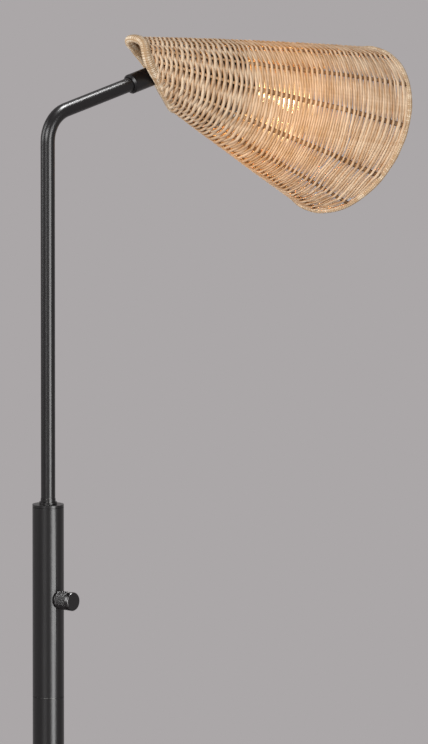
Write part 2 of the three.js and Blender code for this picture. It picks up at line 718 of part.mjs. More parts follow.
// The wall swells over each stake: the ring's full turn is counted in stakes, which stand unevenly
function wallSection(ringAngle) {
  const count = stakeCount * ringAngle / radians(360);
  const stake = Math.floor(count);
  const angle = radians(THREE.MathUtils.lerp(stakeDegrees[stake], stakeDegrees[stake + 1], count - stake));
  const inset = wallDrawIn * (1 - Math.abs(Math.cos(radians(180) * count)) ** drawInSharpness);
  return [
    coneCut(inset, mouthEdge, mouthSlantDegrees, mouthTurnDegrees, angle),
    coneCut(inset, rimEdge, rimSlantDegrees, rimTurnDegrees, angle),
    coneCut(weaveWall - inset, rimEdge, rimSlantDegrees, rimTurnDegrees, angle),
    coneCut(weaveWall - inset, mouthEdge, mouthSlantDegrees, mouthTurnDegrees, angle),
  ];
}
piece(shadeGroup, 'shade_weave', ring(wallSection, sidesPerStake * stakeCount), rattan);

// A wrapped border is a roll split along the side that takes the stakes' ends, with a wire hoop inside
const stepAngle = radians(360 / shadeSides);
function rollSection(at, slantDegrees, turnDegrees, towards, corners) {
  const centre = (angle) => coneCut(weaveWall / 2, at, slantDegrees, turnDegrees, angle);
  const normal = planeNormal(slantDegrees, turnDegrees).multiplyScalar(towards);
  return (angle) => {
    const tangent = centre(angle + stepAngle).sub(centre(angle - stepAngle)).normalize();
    const side = new THREE.Vector3().crossVectors(normal, tangent);
    return corners.map(([radius, turn]) => centre(angle)
      .addScaledVector(normal, radius * Math.cos(turn))
      .addScaledVector(side, radius * Math.sin(turn)));
  };
}
function splitRoll(outer, inner) {
  const gap = seat / inner;
  const around = (radius, from, to) => Array.from({ length: rollSides + 1 }, (_, i) =>
    [radius, THREE.MathUtils.lerp(from, to, i / rollSides)]);
  return [...around(outer, gap, radians(360) - gap), ...around(inner, radians(360) - gap, gap)];
}
const roundWire = (radius) => Array.from({ length: wireSides }, (_, i) =>
  [radius, radians(360 * i / wireSides)]);
const border = (at, slant, turn, towards, roll, hoop) =>
  ring(rollSection(at, slant, turn, towards, splitRoll(roll, hoop + seat)), shadeSides);
const hoop = (at, slant, turn, radius) =>
  ring(rollSection(at, slant, turn, 1, roundWire(radius)), shadeSides);

piece(shadeGroup, 'mouth_border',
  border(mouthAt, mouthSlantDegrees, mouthTurnDegrees, 1, mouthRoll, mouthHoopRadius), paleRattan);
piece(shadeGroup, 'mouth_hoop',
  hoop(mouthAt, mouthSlantDegrees, mouthTurnDegrees, mouthHoopRadius), bareSteel);
piece(shadeGroup, 'rim_border',
  border(rimAt, rimSlantDegrees, rimTurnDegrees, -1, rimRoll, rimHoopRadius), paleRattan);
piece(shadeGroup, 'rim_hoop', hoop(rimAt, rimSlantDegrees, rimTurnDegrees, rimHoopRadius), bareSteel);

// The plate on the socket reaches a hoop that is tied to the stakes
const plateMiddle = plateAt + plateThickness / 2;
const wallAtPlate = shadeRadiusAtPivot - weaveWall + taper * plateMiddle;
const hoopRing = wallAtPlate - (plateHoopRadius + seat) / Math.cos(radians(shadeTaperDegrees));
piece(shadeGroup, 'fitter_plate',
  pipe(hoopRing - plateHoopRadius - seat, bodyRadius + seat, plateAt, plateEnd, shadeSides), blackMetal);
piece(shadeGroup, 'fitter_hoop', turned(
  arc(hoopRing, plateMiddle, plateHoopRadius, 0, 360, wireSides), shadeSides), bareSteel);

// Leads: up the pole to the switch, from it round the bend to the arm's end, and into the socket
const leadTop = switchHeight - switchBodyHeight / 2 - seat;
piece(lamp, 'pole_lead', rod(leadRadius, baseNutAt, leadTop, wireSides), blackPlastic);
const riserLeadFrom = switchHeight + switchBodyHeight / 2 + seat;
const riserLeadPath = new BentPath(riserLeadFrom, corner, bendRadius, rise, armReach - forkDepth - seat);
piece(lamp, 'riser_lead', bentTube(riserLeadPath, leadRadius, 0, wireSides), blackPlastic);
piece(shadeGroup, 'socket_lead',
  rod(leadRadius, socketNippleAt, floorTop - bodyFloor - seat, wireSides), blackPlastic);

export default lamp;
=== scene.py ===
# %% [markdown]
# A reading floor lamp with a woven rattan shade, dressed around its measured model. The model gives the
# sizes, joints and places in metres, so the script starts by loading it.

# %% Load the measured lamp
import json
import math
import bpy
import numpy as np
from mathutils import Matrix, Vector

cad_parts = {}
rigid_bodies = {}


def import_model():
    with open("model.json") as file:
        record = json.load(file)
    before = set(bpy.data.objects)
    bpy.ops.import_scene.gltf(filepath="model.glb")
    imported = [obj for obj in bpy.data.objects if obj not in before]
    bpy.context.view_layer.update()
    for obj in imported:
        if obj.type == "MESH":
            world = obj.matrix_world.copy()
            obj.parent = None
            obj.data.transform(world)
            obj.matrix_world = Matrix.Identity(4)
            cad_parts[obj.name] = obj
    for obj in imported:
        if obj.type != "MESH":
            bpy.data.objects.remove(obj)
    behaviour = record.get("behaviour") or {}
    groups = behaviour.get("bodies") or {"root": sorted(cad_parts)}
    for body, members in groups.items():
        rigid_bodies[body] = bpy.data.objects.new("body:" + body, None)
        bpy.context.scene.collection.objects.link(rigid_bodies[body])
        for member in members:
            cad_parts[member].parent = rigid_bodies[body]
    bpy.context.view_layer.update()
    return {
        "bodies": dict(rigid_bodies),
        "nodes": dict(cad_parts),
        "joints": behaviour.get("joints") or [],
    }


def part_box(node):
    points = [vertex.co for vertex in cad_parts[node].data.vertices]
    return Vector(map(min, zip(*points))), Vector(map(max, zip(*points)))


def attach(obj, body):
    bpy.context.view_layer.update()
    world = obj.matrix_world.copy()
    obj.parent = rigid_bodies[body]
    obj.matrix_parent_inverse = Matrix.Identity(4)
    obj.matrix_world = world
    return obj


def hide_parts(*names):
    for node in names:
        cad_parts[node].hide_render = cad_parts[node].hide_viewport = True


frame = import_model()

MM = 0.001

# %% [markdown]
# The photograph is tall, and it looks as if it was taken from far away with a long lens, since the poles
# stay parallel. A camera 16 m away with a lens of about 875 mm does the same. It looks 8 degrees down,
# from the side of the knob. The pole's top is a known point both in the model and in the picture, so it
# ties the two together. A pixel is taken as 0.886 mm wide in a plane 27 mm behind that point.

# %% Camera
PHOTO_WIDTH, PHOTO_HEIGHT = 428, 744
PHOTO_PIXEL = 0.886 * MM
POLE_TOP_PIXEL = (48.4, 503.8)
CAMERA_AZIMUTH = math.radians(-42.86)
CAMERA_ELEVATION = math.radians(7.76)
CAMERA_DISTANCE = 16.0
SCALE_DEPTH = 0.027
SENSOR = 36.0

level = np.array([-math.sin(CAMERA_AZIMUTH), math.cos(CAMERA_AZIMUTH), 0.0])
look = level * math.cos(CAMERA_ELEVATION) - np.array([0, 0, math.sin(CAMERA_ELEVATION)])
right = np.array([level[1], -level[0], 0.0])
upward = np.cross(right, look)
pole_top = np.array([0, 0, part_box("pole_cap")[1].z])
middle = (pole_top + right * (PHOTO_WIDTH / 2 - POLE_TOP_PIXEL[0]) * PHOTO_PIXEL
          + upward * (POLE_TOP_PIXEL[1] - PHOTO_HEIGHT / 2) * PHOTO_PIXEL)

camera_data = bpy.data.cameras.new("camera")
camera_data.sensor_width = SENSOR
camera_data.lens = SENSOR * (CAMERA_DISTANCE + SCALE_DEPTH) / (PHOTO_HEIGHT * PHOTO_PIXEL)
camera_data.clip_end = 100.0
camera = bpy.data.objects.new("camera", camera_data)
bpy.context.scene.collection.objects.link(camera)
camera.matrix_world = Matrix(np.vstack([
    np.column_stack([right, upward, -look, middle - look * CAMERA_DISTANCE]), [0, 0, 0, 1]]).tolist())
bpy.context.scene.camera = camera
bpy.context.scene.view_settings.view_transform = "Standard"
print("lens, mm:", round(camera_data.lens))

# %% [markdown]
# Every finish is a node material. Three small helpers do the repeated work. One turns a screen colour, as
# it is read off a picture, into the linear values that light is added up in. One adds a node and joins
# it to others, and one starts a material whose values are the same all over.

# %% Colour and node helpers
def linear(code, alpha=1.0):
    """A screen colour such as c9a67c as linear red, green, blue and alpha: each part is lowered by the
    screen's curve, which is a straight line near black and a power of 2.4 above it."""
    parts = [int(code[i:i + 2], 16) / 255 for i in (0, 2, 4)]
    return [p / 12.92 if p <= 0.04045 else ((p + 0.055) / 1.055) ** 2.4 for p in parts] + [alpha]


def add(tree, kind, inputs=None, **settings):
    """Adds one node. Each input is named or numbered, and takes a value or another node's output."""
    node = tree.nodes.new(kind)
    for key, value in settings.items():
        setattr(node, key, value)
    for key, value in (inputs or {}).items():
        if isinstance(value, bpy.types.NodeSocket):
            tree.links.new(value, node.inputs[key])
        else:
            node.inputs[key].default_value = value
    return node


def finish(name, code, roughness, **sockets):
    """A named Principled material with constant values on its own sockets."""
    material = bpy.data.materials.new(name)
    material.use_nodes = True
    shader = material.node_tree.nodes["Principled BSDF"]
    shader.inputs["Base Color"].default_value = linear(code)
    shader.inputs["Roughness"].default_value = roughness
    for key, value in sockets.items():
        shader.inputs[key.replace("_", " ")].default_value = value
    return material, material.node_tree, shader


print("a screen grey of one half is", round(linear("808080")[0], 3), "in linear light")

# %% [markdown]
# The studio is plain. The surround gives soft white light from all round, and less of it from overhead.
# The camera, gloss and glass see it as the picture's grey background instead. The Light Path node tells
# these rays from the ones that light matt surfaces, so the grey reaches only gloss and glass.

# %% Surround
BACKDROP = "aba7a8"
AMBIENT, OVERHEAD = 0.78, 0.2
DIM_FROM, DIM_TO = 0.1, 0.9

world = bpy.data.worlds.new("surround")
bpy.context.scene.world = world
world.use_nodes = True
sky = world.node_tree
sky.nodes.clear()
rays = add(sky, "ShaderNodeLightPath")
seen = add(sky, "ShaderNodeMath", {0: rays.outputs["Is Camera Ray"], 1: rays.outputs["Is Glossy Ray"]},
           operation="MAXIMUM")
seen = add(sky, "ShaderNodeMath", {0: seen.outputs[0], 1: rays.outputs["Is Transmission Ray"]},
           operation="MAXIMUM")
way = add(sky, "ShaderNodeSeparateXYZ", {0: add(sky, "ShaderNodeTexCoord").outputs["Generated"]})
dimmer = add(sky, "ShaderNodeMapRange",
             {0: way.outputs[2], 1: DIM_FROM, 2: DIM_TO, 3: AMBIENT, 4: OVERHEAD})
ambient = add(sky, "ShaderNodeBackground", {"Color": linear("ffffff"), "Strength": dimmer.outputs[0]})
surround = add(sky, "ShaderNodeBackground", {"Color": linear(BACKDROP), "Strength": 1.0})
blend = add(sky, "ShaderNodeMixShader",
            {0: seen.outputs[0], 1: ambient.outputs[0], 2: surround.outputs[0]})
add(sky, "ShaderNodeOutputWorld", {0: blend.outputs[0]})
print("surround:", AMBIENT, "at the sides and", OVERHEAD, "overhead")

# %% [markdown]
# A broad key light comes from the camera's left and a little above it. The black tubes would be lost
# without a reflection, so a tall panel stands 39 degrees to the camera's right, and its image in the
# gloss is the thin upright streak on the pole. One more panel hangs overhead and one stands at the left.
# Light this strong would bleach the pale weave, so the panels are hidden from matt light, and of the
# weave they reach only its faint gloss.

# %% Key light and panels
def lamp_at(name, kind, place, target, strength, **settings):
    """A lamp at place that shines towards target."""
    data = bpy.data.lights.new(name, kind)
    data.energy = strength
    for key, value in settings.items():
        setattr(data, key, value)
    lamp = bpy.data.objects.new(name, data)
    bpy.context.scene.collection.objects.link(lamp)
    back = np.array(place, float) - np.array(target, float)
    back /= np.linalg.norm(back)
    side = np.cross([0, 0, 1], back)
    side /= np.linalg.norm(side)
    turn = np.column_stack([side, np.cross(back, side), back, place])
    lamp.matrix_world = Matrix(np.vstack([turn, [0, 0, 0, 1]]).tolist())
    return lamp


def around(azimuth, elevation, distance, height):
    """A place at an angle to the camera's right and above level, at a distance from a point on the
    pole's axis."""
    turn, lift = math.radians(azimuth), math.radians(elevation)
    flat = -level * math.cos(turn) + right * math.sin(turn)
    return flat * distance * math.cos(lift) + np.array([0, 0, height + distance * math.sin(lift)])


SHADE_HEIGHT = 1.42
lamp_at("key", "SUN", around(-24, 16, 3, SHADE_HEIGHT), (0.2, 0, SHADE_HEIGHT), 2.2,
        angle=math.radians(30))
panels = [
    lamp_at("streak_panel", "AREA", around(39, -6, 2.6, 1.0), (0, 0, 1.0), 115, shape="RECTANGLE",
            size=1.15, size_y=2.9),
    lamp_at("overhead_panel", "AREA", (0.55, -0.2, 3.4), (0.1, 0, 1.4), 75, shape="RECTANGLE",
            size=0.7, size_y=0.7),
    lamp_at("side_panel", "AREA", around(-88, 22, 2.4, 1.1), (0, 0, 1.1), 30, shape="RECTANGLE",
            size=0.9, size_y=1.6),
]
for panel in panels:
    panel.visible_diffuse = False
    panel.visible_camera = False
print("a key light and", len(panels), "panels")

# %% [markdown]
# The floor is a wide disc of matt paint that catches the lamp's shadow. It belongs to the studio.

# %% Floor
FLOOR_RADIUS = 3.2
FLOOR_CORNERS = 96

floor_mesh = bpy.data.meshes.new("floor")
turn = np.linspace(0, 2 * math.pi, FLOOR_CORNERS, endpoint=False)
floor_rim = np.column_stack([np.cos(turn), np.sin(turn), np.zeros_like(turn)]) * FLOOR_RADIUS
floor_mesh.from_pydata(floor_rim.tolist(), [], [list(range(len(turn)))])
floor = bpy.data.objects.new("floor", floor_mesh)
bpy.context.scene.collection.objects.link(floor)
floor_mesh.materials.append(finish("matt_studio_paint", "cdc7c9", 0.9, Specular_IOR_Level=0.0)[0])
print("floor of radius", FLOOR_RADIUS, "m")

# %% [markdown]
# No real surface is quite even. A noise that is fixed to the piece gives most of the finishes their fine
# relief, and in some it also chooses between a darker and a lighter tone. A picture of a surface could do
# that as well, but a noise has no seams and stays sharp from close by.

# %% Relief and mottling
def grain(tree, shader, size, height, detail=3.0, stretch=(1, 1, 1)):
    """Fine relief: noise whose lumps are size across, raised by height, both in metres."""
    place = add(tree, "ShaderNodeTexCoord").outputs["Object"]
    scaled = add(tree, "ShaderNodeMapping", {"Vector": place, "Scale": stretch}).outputs[0]
    noise = add(tree, "ShaderNodeTexNoise", {"Vector": scaled, "Scale": 1 / size, "Detail": detail})
    bump = add(tree, "ShaderNodeBump", {"Height": noise.outputs[0], "Distance": height, "Strength": 1.0})
    tree.links.new(bump.outputs[0], shader.inputs["Normal"])
    return noise


def mottle(tree, shader, noise, dark, light):
    """Lets a noise choose the base colour between two tones."""
    tone = add(tree, "ShaderNodeMix", {0: noise.outputs[0], 6: linear(dark), 7: linear(light)},
               data_type="RGBA")
    tree.links.new(tone.outputs[2], shader.inputs["Base Color"])


# %% [markdown]
# The tubes and turned fittings are steel with a satin black powder coat: paint sprayed on as dry powder
# and baked, which leaves a very fine, even pebble. It is dark and fairly smooth, so what the eye gets is
# the long soft reflection along each tube. The pebble is finer than a pixel here. It is drawn very low,
# with a slight change of gloss, and from the camera's place it makes no difference that can be seen. The
# knob has a lacquer that is a little glossier. Bare steel is zinc-plated and has the fine level marks of
# a lathe, and the brass has slow patches of tarnish.

# %% Powder coat, lacquer, steel and brass
PEBBLE, PEBBLE_HIGH = 0.7 * MM, 0.001 * MM
COAT_SATIN, COAT_DULL = 0.27, 0.33
LATHE_MARKS = (1, 1, 12)

powder_coat, tree, shader = finish("satin_black_powder_coat", "100e0f", COAT_SATIN, Specular_IOR_Level=0.4)
lumps = grain(tree, shader, PEBBLE, PEBBLE_HIGH, detail=2.0)
gloss = add(tree, "ShaderNodeMapRange", {0: lumps.outputs[0], 3: COAT_SATIN, 4: COAT_DULL})
tree.links.new(gloss.outputs[0], shader.inputs["Roughness"])

knob_lacquer, tree, shader = finish("glossy_black_knob_lacquer", "0f0d0e", 0.26, Specular_IOR_Level=0.55)
grain(tree, shader, PEBBLE, PEBBLE_HIGH, detail=2.0)

plated_steel, tree, shader = finish("zinc_plated_steel", "b9b8b4", 0.3, Metallic=1.0)
grain(tree, shader, 0.5 * MM, 0.01 * MM, stretch=LATHE_MARKS)

stamped_brass, tree, shader = finish("stamped_brass", "c9a45c", 0.3, Metallic=1.0)
mottle(tree, shader, grain(tree, shader, 6 * MM, 0.02 * MM), "a8803c", "dcbb75")
print("metals:", powder_coat.name, knob_lacquer.name, plated_steel.name, stamped_brass.name)

# %% [markdown]
# The weight in the foot is grey cast iron: sand leaves it rough and dull. Felt under it is a mat of short
# fibres, so it has a soft sheen. The switch and the leads are moulded black plastic with a fine texture.

# %% Cast iron, felt and plastic
cast_iron, tree, shader = finish("grey_cast_iron", "4d4c4b", 0.75, Metallic=0.7)
mottle(tree, shader, grain(tree, shader, 1.2 * MM, 0.15 * MM, detail=5.0), "333231", "6a6865")

felt, tree, shader = finish("pressed_wool_felt", "2c2b2b", 0.95, Sheen_Weight=0.35, Sheen_Roughness=0.5)
mottle(tree, shader, grain(tree, shader, 0.9 * MM, 0.3 * MM, detail=6.0), "201f1f", "454342")

moulded_plastic, tree, shader = finish("moulded_black_plastic", "212022", 0.5)
grain(tree, shader, 0.4 * MM, 0.012 * MM)
print("foot and switch:", cast_iron.name, felt.name, moulded_plastic.name)

# %% [markdown]
# The bulb is clear glass with four coated filaments that glow warm white. The glass is drawn very
# slightly hazy, and a weak glow of its own stands for the light that scatters in it.

# %% Glass and filaments
GLOW_COLOUR = "ffd9a0"
clear_glass, tree, shader = finish("clear_bulb_glass", "fff6e6", 0.12, Transmission_Weight=1.0, IOR=1.5,
                                   Emission_Color=linear("ffe2b0"), Emission_Strength=0.35)
grain(tree, shader, 9 * MM, 0.01 * MM)

filament_coat, tree, shader = finish("coated_filament", "ffd38a", 0.6, Emission_Color=linear("fff0d0"),
                                     Emission_Strength=26.0)
grain(tree, shader, 0.6 * MM, 0.05 * MM)
print("bulb:", clear_glass.name, filament_coat.name)

# %% [markdown]
# The shade tilts about a pivot at the arm's end, and its axis points 19 degrees below level. Every place
# on the shade is measured from that pivot, along the axis, down and across.

# %% Axis of the shade
SHADE_DROP = math.radians(19)
AXIS = np.array([math.cos(SHADE_DROP), 0, -math.sin(SHADE_DROP)])
DOWN = np.array([-math.sin(SHADE_DROP), 0, -math.cos(SHADE_DROP)])
ACROSS = np.array([0.0, 1.0, 0.0])
BULB_AT, GLOW_AT, PLATE_AT = 152, 134, 66

joints = {joint["name"]: joint for joint in frame["joints"]}
pivot = np.array(joints["shade_tilt"]["pos_m"])
bulb_centre = pivot + AXIS * BULB_AT * MM
glow_centre = pivot + AXIS * GLOW_AT * MM
print("shade's pivot, metres:", pivot)

# %% [markdown]
# The strands are split rattan core: pale, dry and slightly fibrous, each cut from a different place, so
# no two have quite the same tone. A strand 1.6 mm thick lets some lamplight through. That light isn't
# traced here. It is set as a glow of the strand's own, which falls with the third power of the distance
# from a point on the axis near the bulb, for the light's spread and its slant, and which stops behind the
# plate that carries the shade.

# %% Rattan
FIBRE_SCALE, FIBRE_STRETCH, FIBRE_HIGH = 3.0, (0.12, 1.6, 1), 0.12 * MM
PATCH = 14 * MM
SHADE_SIDE_FROM, SHADE_SIDE_TO, SIDE_SHADE_DEPTH = -1.0, 0.3, -0.9
TONE_FROM, TONE_TO = 0.7, 2.1
GLOW_REACH, GLOW_POWER = 55 * MM, 3.0
PLATE_BEHIND, PLATE_AHEAD = 10 * MM, 8 * MM
AMBER, AMBER_SHARE = "f2ae62", 0.3
GLOW_LEAST, GLOW_MOST = 0.25, 1.4


def rattan(name, dark, light, glow, glow_strength):
    """Split rattan: long fibre streaks and slow patches of tone, a tone of its own for each strand, painted
    shade on the sides of each strand where its neighbours shade it, and the lamplight that comes through,
    painted as a glow and, near the bulb, as an amber tint of the base colour."""
    material, tree, shader = finish(name, light, 0.68, Specular_IOR_Level=0.2)
    along = add(tree, "ShaderNodeTexCoord").outputs["UV"]
    place = add(tree, "ShaderNodeTexCoord").outputs["Object"]
    fibre_place = add(tree, "ShaderNodeMapping", {"Vector": along, "Scale": FIBRE_STRETCH}).outputs[0]
    fibre = add(tree, "ShaderNodeTexNoise", {"Vector": fibre_place, "Scale": FIBRE_SCALE, "Detail": 4.0})
    patch = add(tree, "ShaderNodeTexNoise", {"Vector": place, "Scale": 1 / PATCH, "Detail": 2.0})
    strand = add(tree, "ShaderNodeAttribute", attribute_name="tint")
    mixed = add(tree, "ShaderNodeMath", {0: fibre.outputs[0], 1: patch.outputs[0]}, operation="ADD")
    mixed = add(tree, "ShaderNodeMath", {0: mixed.outputs[0], 1: strand.outputs["Fac"]}, operation="ADD")
    # Painted shade: the sides of each strand, where it meets its neighbours, are darker, and the same mark
    # lowers the strand's glow there.
    split = add(tree, "ShaderNodeSeparateXYZ", {0: along})
    wave = add(tree, "ShaderNodeMath", {0: split.outputs[1], 1: 4 * math.pi}, operation="MULTIPLY")
    crown = add(tree, "ShaderNodeMath", {0: wave.outputs[0]}, operation="COSINE")
    painted_side_shade = add(tree, "ShaderNodeMapRange",
                 {0: crown.outputs[0], 1: SHADE_SIDE_FROM, 2: SHADE_SIDE_TO, 3: SIDE_SHADE_DEPTH, 4: 0.0})
    mixed = add(tree, "ShaderNodeMath", {0: mixed.outputs[0], 1: painted_side_shade.outputs[0]}, operation="ADD")
    tone = add(tree, "ShaderNodeMapRange", {0: mixed.outputs[0], 1: TONE_FROM, 2: TONE_TO, 3: 0.0, 4: 1.0})
    colour = add(tree, "ShaderNodeMix", {0: tone.outputs[0], 6: linear(dark), 7: linear(light)},
                 data_type="RGBA")
    bump = add(tree, "ShaderNodeBump", {"Height": fibre.outputs[0], "Distance": FIBRE_HIGH})
    tree.links.new(bump.outputs[0], shader.inputs["Normal"])

    away = add(tree, "ShaderNodeVectorMath", {0: place, 1: glow_centre}, operation="DISTANCE")
    ratio = add(tree, "ShaderNodeMath", {0: GLOW_REACH, 1: away.outputs["Value"]}, operation="DIVIDE")
    fall = add(tree, "ShaderNodeMath", {0: ratio.outputs[0], 1: GLOW_POWER}, operation="POWER")
    plate = pivot @ AXIS + PLATE_AT * MM
    ahead = add(tree, "ShaderNodeVectorMath", {0: place, 1: AXIS}, operation="DOT_PRODUCT")
    lit = add(tree, "ShaderNodeMapRange",
              {0: ahead.outputs["Value"], 1: plate - PLATE_BEHIND, 2: plate + PLATE_AHEAD, 3: 0.0, 4: 1.0},
              interpolation_type="SMOOTHSTEP")
    power = add(tree, "ShaderNodeMath", {0: fall.outputs[0], 1: lit.outputs[0]}, operation="MULTIPLY")
    amber = add(tree, "ShaderNodeMath", {0: power.outputs[0], 1: AMBER_SHARE}, operation="MULTIPLY",
                use_clamp=True)
    colour = add(tree, "ShaderNodeMix", {0: amber.outputs[0], 6: colour.outputs[2], 7: linear(AMBER)},
                 data_type="RGBA")
    tree.links.new(colour.outputs[2], shader.inputs["Base Color"])
    uneven = add(tree, "ShaderNodeMapRange",
                 {0: mixed.outputs[0], 1: TONE_FROM, 2: TONE_TO, 3: GLOW_LEAST, 4: GLOW_MOST})
    power = add(tree, "ShaderNodeMath", {0: power.outputs[0], 1: uneven.outputs[0]}, operation="MULTIPLY")
    power = add(tree, "ShaderNodeMath", {0: power.outputs[0], 1: glow_strength}, operation="MULTIPLY")
    tree.links.new(power.outputs[0], shader.inputs["Emission Strength"])
    shader.inputs["Emission Color"].default_value = linear(glow)
    return material


woven_strand = rattan("split_rattan_core", "a97a4c", "f9e1c2", "ff9e38", 0.12)
wrapped_strand = rattan("wrapped_rattan", "b3936f", "f8ead2", "ffb868", 0.08)
# The stakes' dark tone is painted shade, for where they lie deep between tight strands.
stake_rattan = rattan("rattan_stake", "52331c", "e6c298", "ff9a45", 0.04)
print("rattan:", woven_strand.name, wrapped_strand.name, stake_rattan.name)

# %% [markdown]
# The model names a finish for each of its pieces, so its slots choose the materials. The rattan pieces
# of the model get rattan too, though the woven ones below take their place.

# %% Give each piece of the model its finish
by_slot = {
    "black_metal": powder_coat, "bare_steel": plated_steel, "brass": stamped_brass,
    "cast_iron": cast_iron, "felt": felt, "black_plastic": moulded_plastic,
    "woven_rattan": woven_strand, "pale_rattan": wrapped_strand,
    "bulb_glass": clear_glass, "filament": filament_coat,
}
for name, node in frame["nodes"].items():
    slot = node.material_slots[0].material.name.split(".")[0]
    node.material_slots[0].material = by_slot[slot]
print(len(frame["nodes"]), "pieces of the model have a finish")

# %% [markdown]
# The model's round pieces are made of flat strips, which would show as bands in a glossy tube. More
# strips would need another model. Instead a weld and a small node modifier let the light run smoothly
# over edges flatter than 35 degrees and keep the others crisp. The weld joins only points that lie within
# two thousandths of a millimetre of each other, so the shapes stay.

# %% Smooth light over the round pieces
SMOOTH_BELOW = math.radians(35)
WELD_WITHIN = 0.002 * MM

smoothing = bpy.data.node_groups.new("smooth_by_angle", "GeometryNodeTree")
smoothing.interface.new_socket("Geometry", in_out="INPUT", socket_type="NodeSocketGeometry")
smoothing.interface.new_socket("Geometry", in_out="OUTPUT", socket_type="NodeSocketGeometry")
came = add(smoothing, "NodeGroupInput")
angle = add(smoothing, "GeometryNodeInputMeshEdgeAngle")
flat = add(smoothing, "FunctionNodeCompare", {0: angle.outputs[0], 1: SMOOTH_BELOW},
           data_type="FLOAT", operation="LESS_EQUAL")
faces_smooth = add(smoothing, "GeometryNodeSetShadeSmooth", {0: came.outputs[0]}, domain="FACE")
edges_smooth = add(smoothing, "GeometryNodeSetShadeSmooth",
                   {0: faces_smooth.outputs[0], "Shade Smooth": flat.outputs[0]}, domain="EDGE")
add(smoothing, "NodeGroupOutput", {0: edges_smooth.outputs[0]})
for node in frame["nodes"].values():
    weld = node.modifiers.new("weld", "WELD")
    weld.merge_threshold = WELD_WITHIN
    node.modifiers.new("smooth_by_angle", "NODES").node_group = smoothing
print("smooth below", round(math.degrees(SMOOTH_BELOW)), "degrees")

# %% [markdown]
# The shade is woven over stakes that run along a tapered tube, like the ribs of a basket. A point of it
# is given by how far it lies along the tube's axis from the pivot, how far out, and at what turn, where
# zero is the underside and a quarter turn is the far side. Lengths are in millimetres until the last step.

# %% The tapered tube
TAPER = math.tan(math.radians(12.66))
WALL_AT_PIVOT = 26.4
BELLY, BELLY_AT, BELLY_HALF = 1.2, 90.0, 140.0
RIM_AT, RIM_SLANT, RIM_TURN, RIM_ROLL = 225.9, math.radians(6.8), math.radians(180), 2.4


def shade_point(along, out, turn):
    """Millimetres along the shade's axis and out from it, at a turn in radians, as a place in metres."""
    along, out, turn = np.broadcast_arrays(along, out, turn)
    return pivot + MM * (along[..., None] * AXIS + (out * np.cos(turn))[..., None] * DOWN
                         + (out * np.sin(turn))[..., None] * ACROSS)


def wall_direction(turn):
    """The direction square to the wall, outwards."""
    turn = np.asarray(turn)[..., None]
    from_axis = np.cos(turn) * DOWN + np.sin(turn) * ACROSS
    return (from_axis - AXIS * TAPER) / math.hypot(1, TAPER)


def slanted_cut(at, slope, out=0.0):
    """Where a slanted plane meets the wall. The plane crosses the axis at at and rises by slope for each
    millimetre out. The wall's radius grows along the axis by the taper, so the radius where they meet is
    the radius at at, divided by one less the taper times the slope. The tube also swells a little near
    half its length, by a parabola. out moves the place off the wall."""
    radius = (WALL_AT_PIVOT + TAPER * at) / (1 - TAPER * slope)
    along = at + slope * radius
    belly = BELLY * (1 - ((along - BELLY_AT) / BELLY_HALF) ** 2)
    return along - out * TAPER, radius + out + belly


print("wall's radius, mm:", round(slanted_cut(0.0, 0.0)[1], 1), "at the pivot and",
      round(slanted_cut(RIM_AT, 0.0)[1], 1), "at the rim")

# %% [markdown]
# Twelve stakes hold the weave. Four are seen and were read off the photograph in degrees of turn, and the
# other eight are spaced evenly over the hidden side. Near the mouth all of them are turned a little
# further about the axis. Each row is drawn with 288 samples, which gather at the stakes and midway
# between them.

# %% Stakes and samples
SEEN_STAKES = [230, 261, 299, 330]
STAKES = 12
SAMPLES = 288
GATHER = 0.06
TWIST, TWIST_UNTIL, TWIST_MOST = math.radians(6.5), 160, 1.2

spacing = (360 - SEEN_STAKES[-1] + SEEN_STAKES[0]) / (STAKES - len(SEEN_STAKES) + 1)
hidden_stakes = SEEN_STAKES[-1] + spacing * np.arange(1, STAKES - len(SEEN_STAKES) + 1)
stake_turns = np.radians(np.concatenate([SEEN_STAKES, hidden_stakes, [SEEN_STAKES[0] + 360]]))
even_count = np.arange(SAMPLES) * STAKES / SAMPLES
stake_count = even_count - GATHER * np.sin(4 * math.pi * even_count)
even_turns = np.interp(stake_count, np.arange(STAKES + 1), stake_turns)


def twist(at):
    """How far the stakes turn about the axis: most at the mouth, and less in a straight line up to
    TWIST_UNTIL."""
    return TWIST * np.clip((TWIST_UNTIL - at) / TWIST_UNTIL, 0, TWIST_MOST)


print("hidden stakes are", round(spacing, 1), "degrees apart")

# %% [markdown]
# The mouth is cut at a slant, and its hoop is bent out of that plane. So the edge is a slanted cut of the
# tube with a few slow waves added. Each wave has a whole number of turns, a size in millimetres and a
# start in degrees. On the underside the border sits deeper, so that the strands end over it.

# %% The mouth's edge
MOUTH_AT, MOUTH_SLANT, MOUTH_TURN = -28.4, math.radians(59.8), math.radians(29.5)
MOUTH_WAVES = [(0, 2.6, 0), (1, 3.1, 122), (2, 5.6, 59), (3, 2.8, -42)]
MOUTH_SUNK, MOUTH_SUNK_TURN = 1.6, math.radians(-25)


def mouth_edge(turn):
    """The mouth's edge on the wall: a slanted plane's cut, and the slow waves."""
    at, out = slanted_cut(MOUTH_AT, math.tan(MOUTH_SLANT) * np.cos(turn - MOUTH_TURN))
    bent = sum(size * np.cos(count * turn - count * math.radians(start))
               for count, size, start in MOUTH_WAVES)
    return at + bent, out + bent * TAPER


def mouth_sink(turn):
    """How far the mouth's border sits inside the wall on the underside."""
    return MOUTH_SUNK * np.clip(np.cos(turn - MOUTH_SUNK_TURN), 0, 1) ** 2


def band_edge(turn):
    """The line that the mouth's border and its wire follow."""
    at, out = mouth_edge(turn)
    return at, out - mouth_sink(turn)


def above_mouth(along, turn):
    """Distance of points from the mouth's edge over the wall: the distance along the axis, divided by
    the steepness of the edge there."""
    edge, out = mouth_edge(turn)
    climb = (np.roll(edge, -1, -1) - np.roll(edge, 1, -1)) / (
        out * ((np.roll(turn, -1, -1) - np.roll(turn, 1, -1)) % (2 * math.pi)))
    return (along - edge) / np.hypot(1, climb)


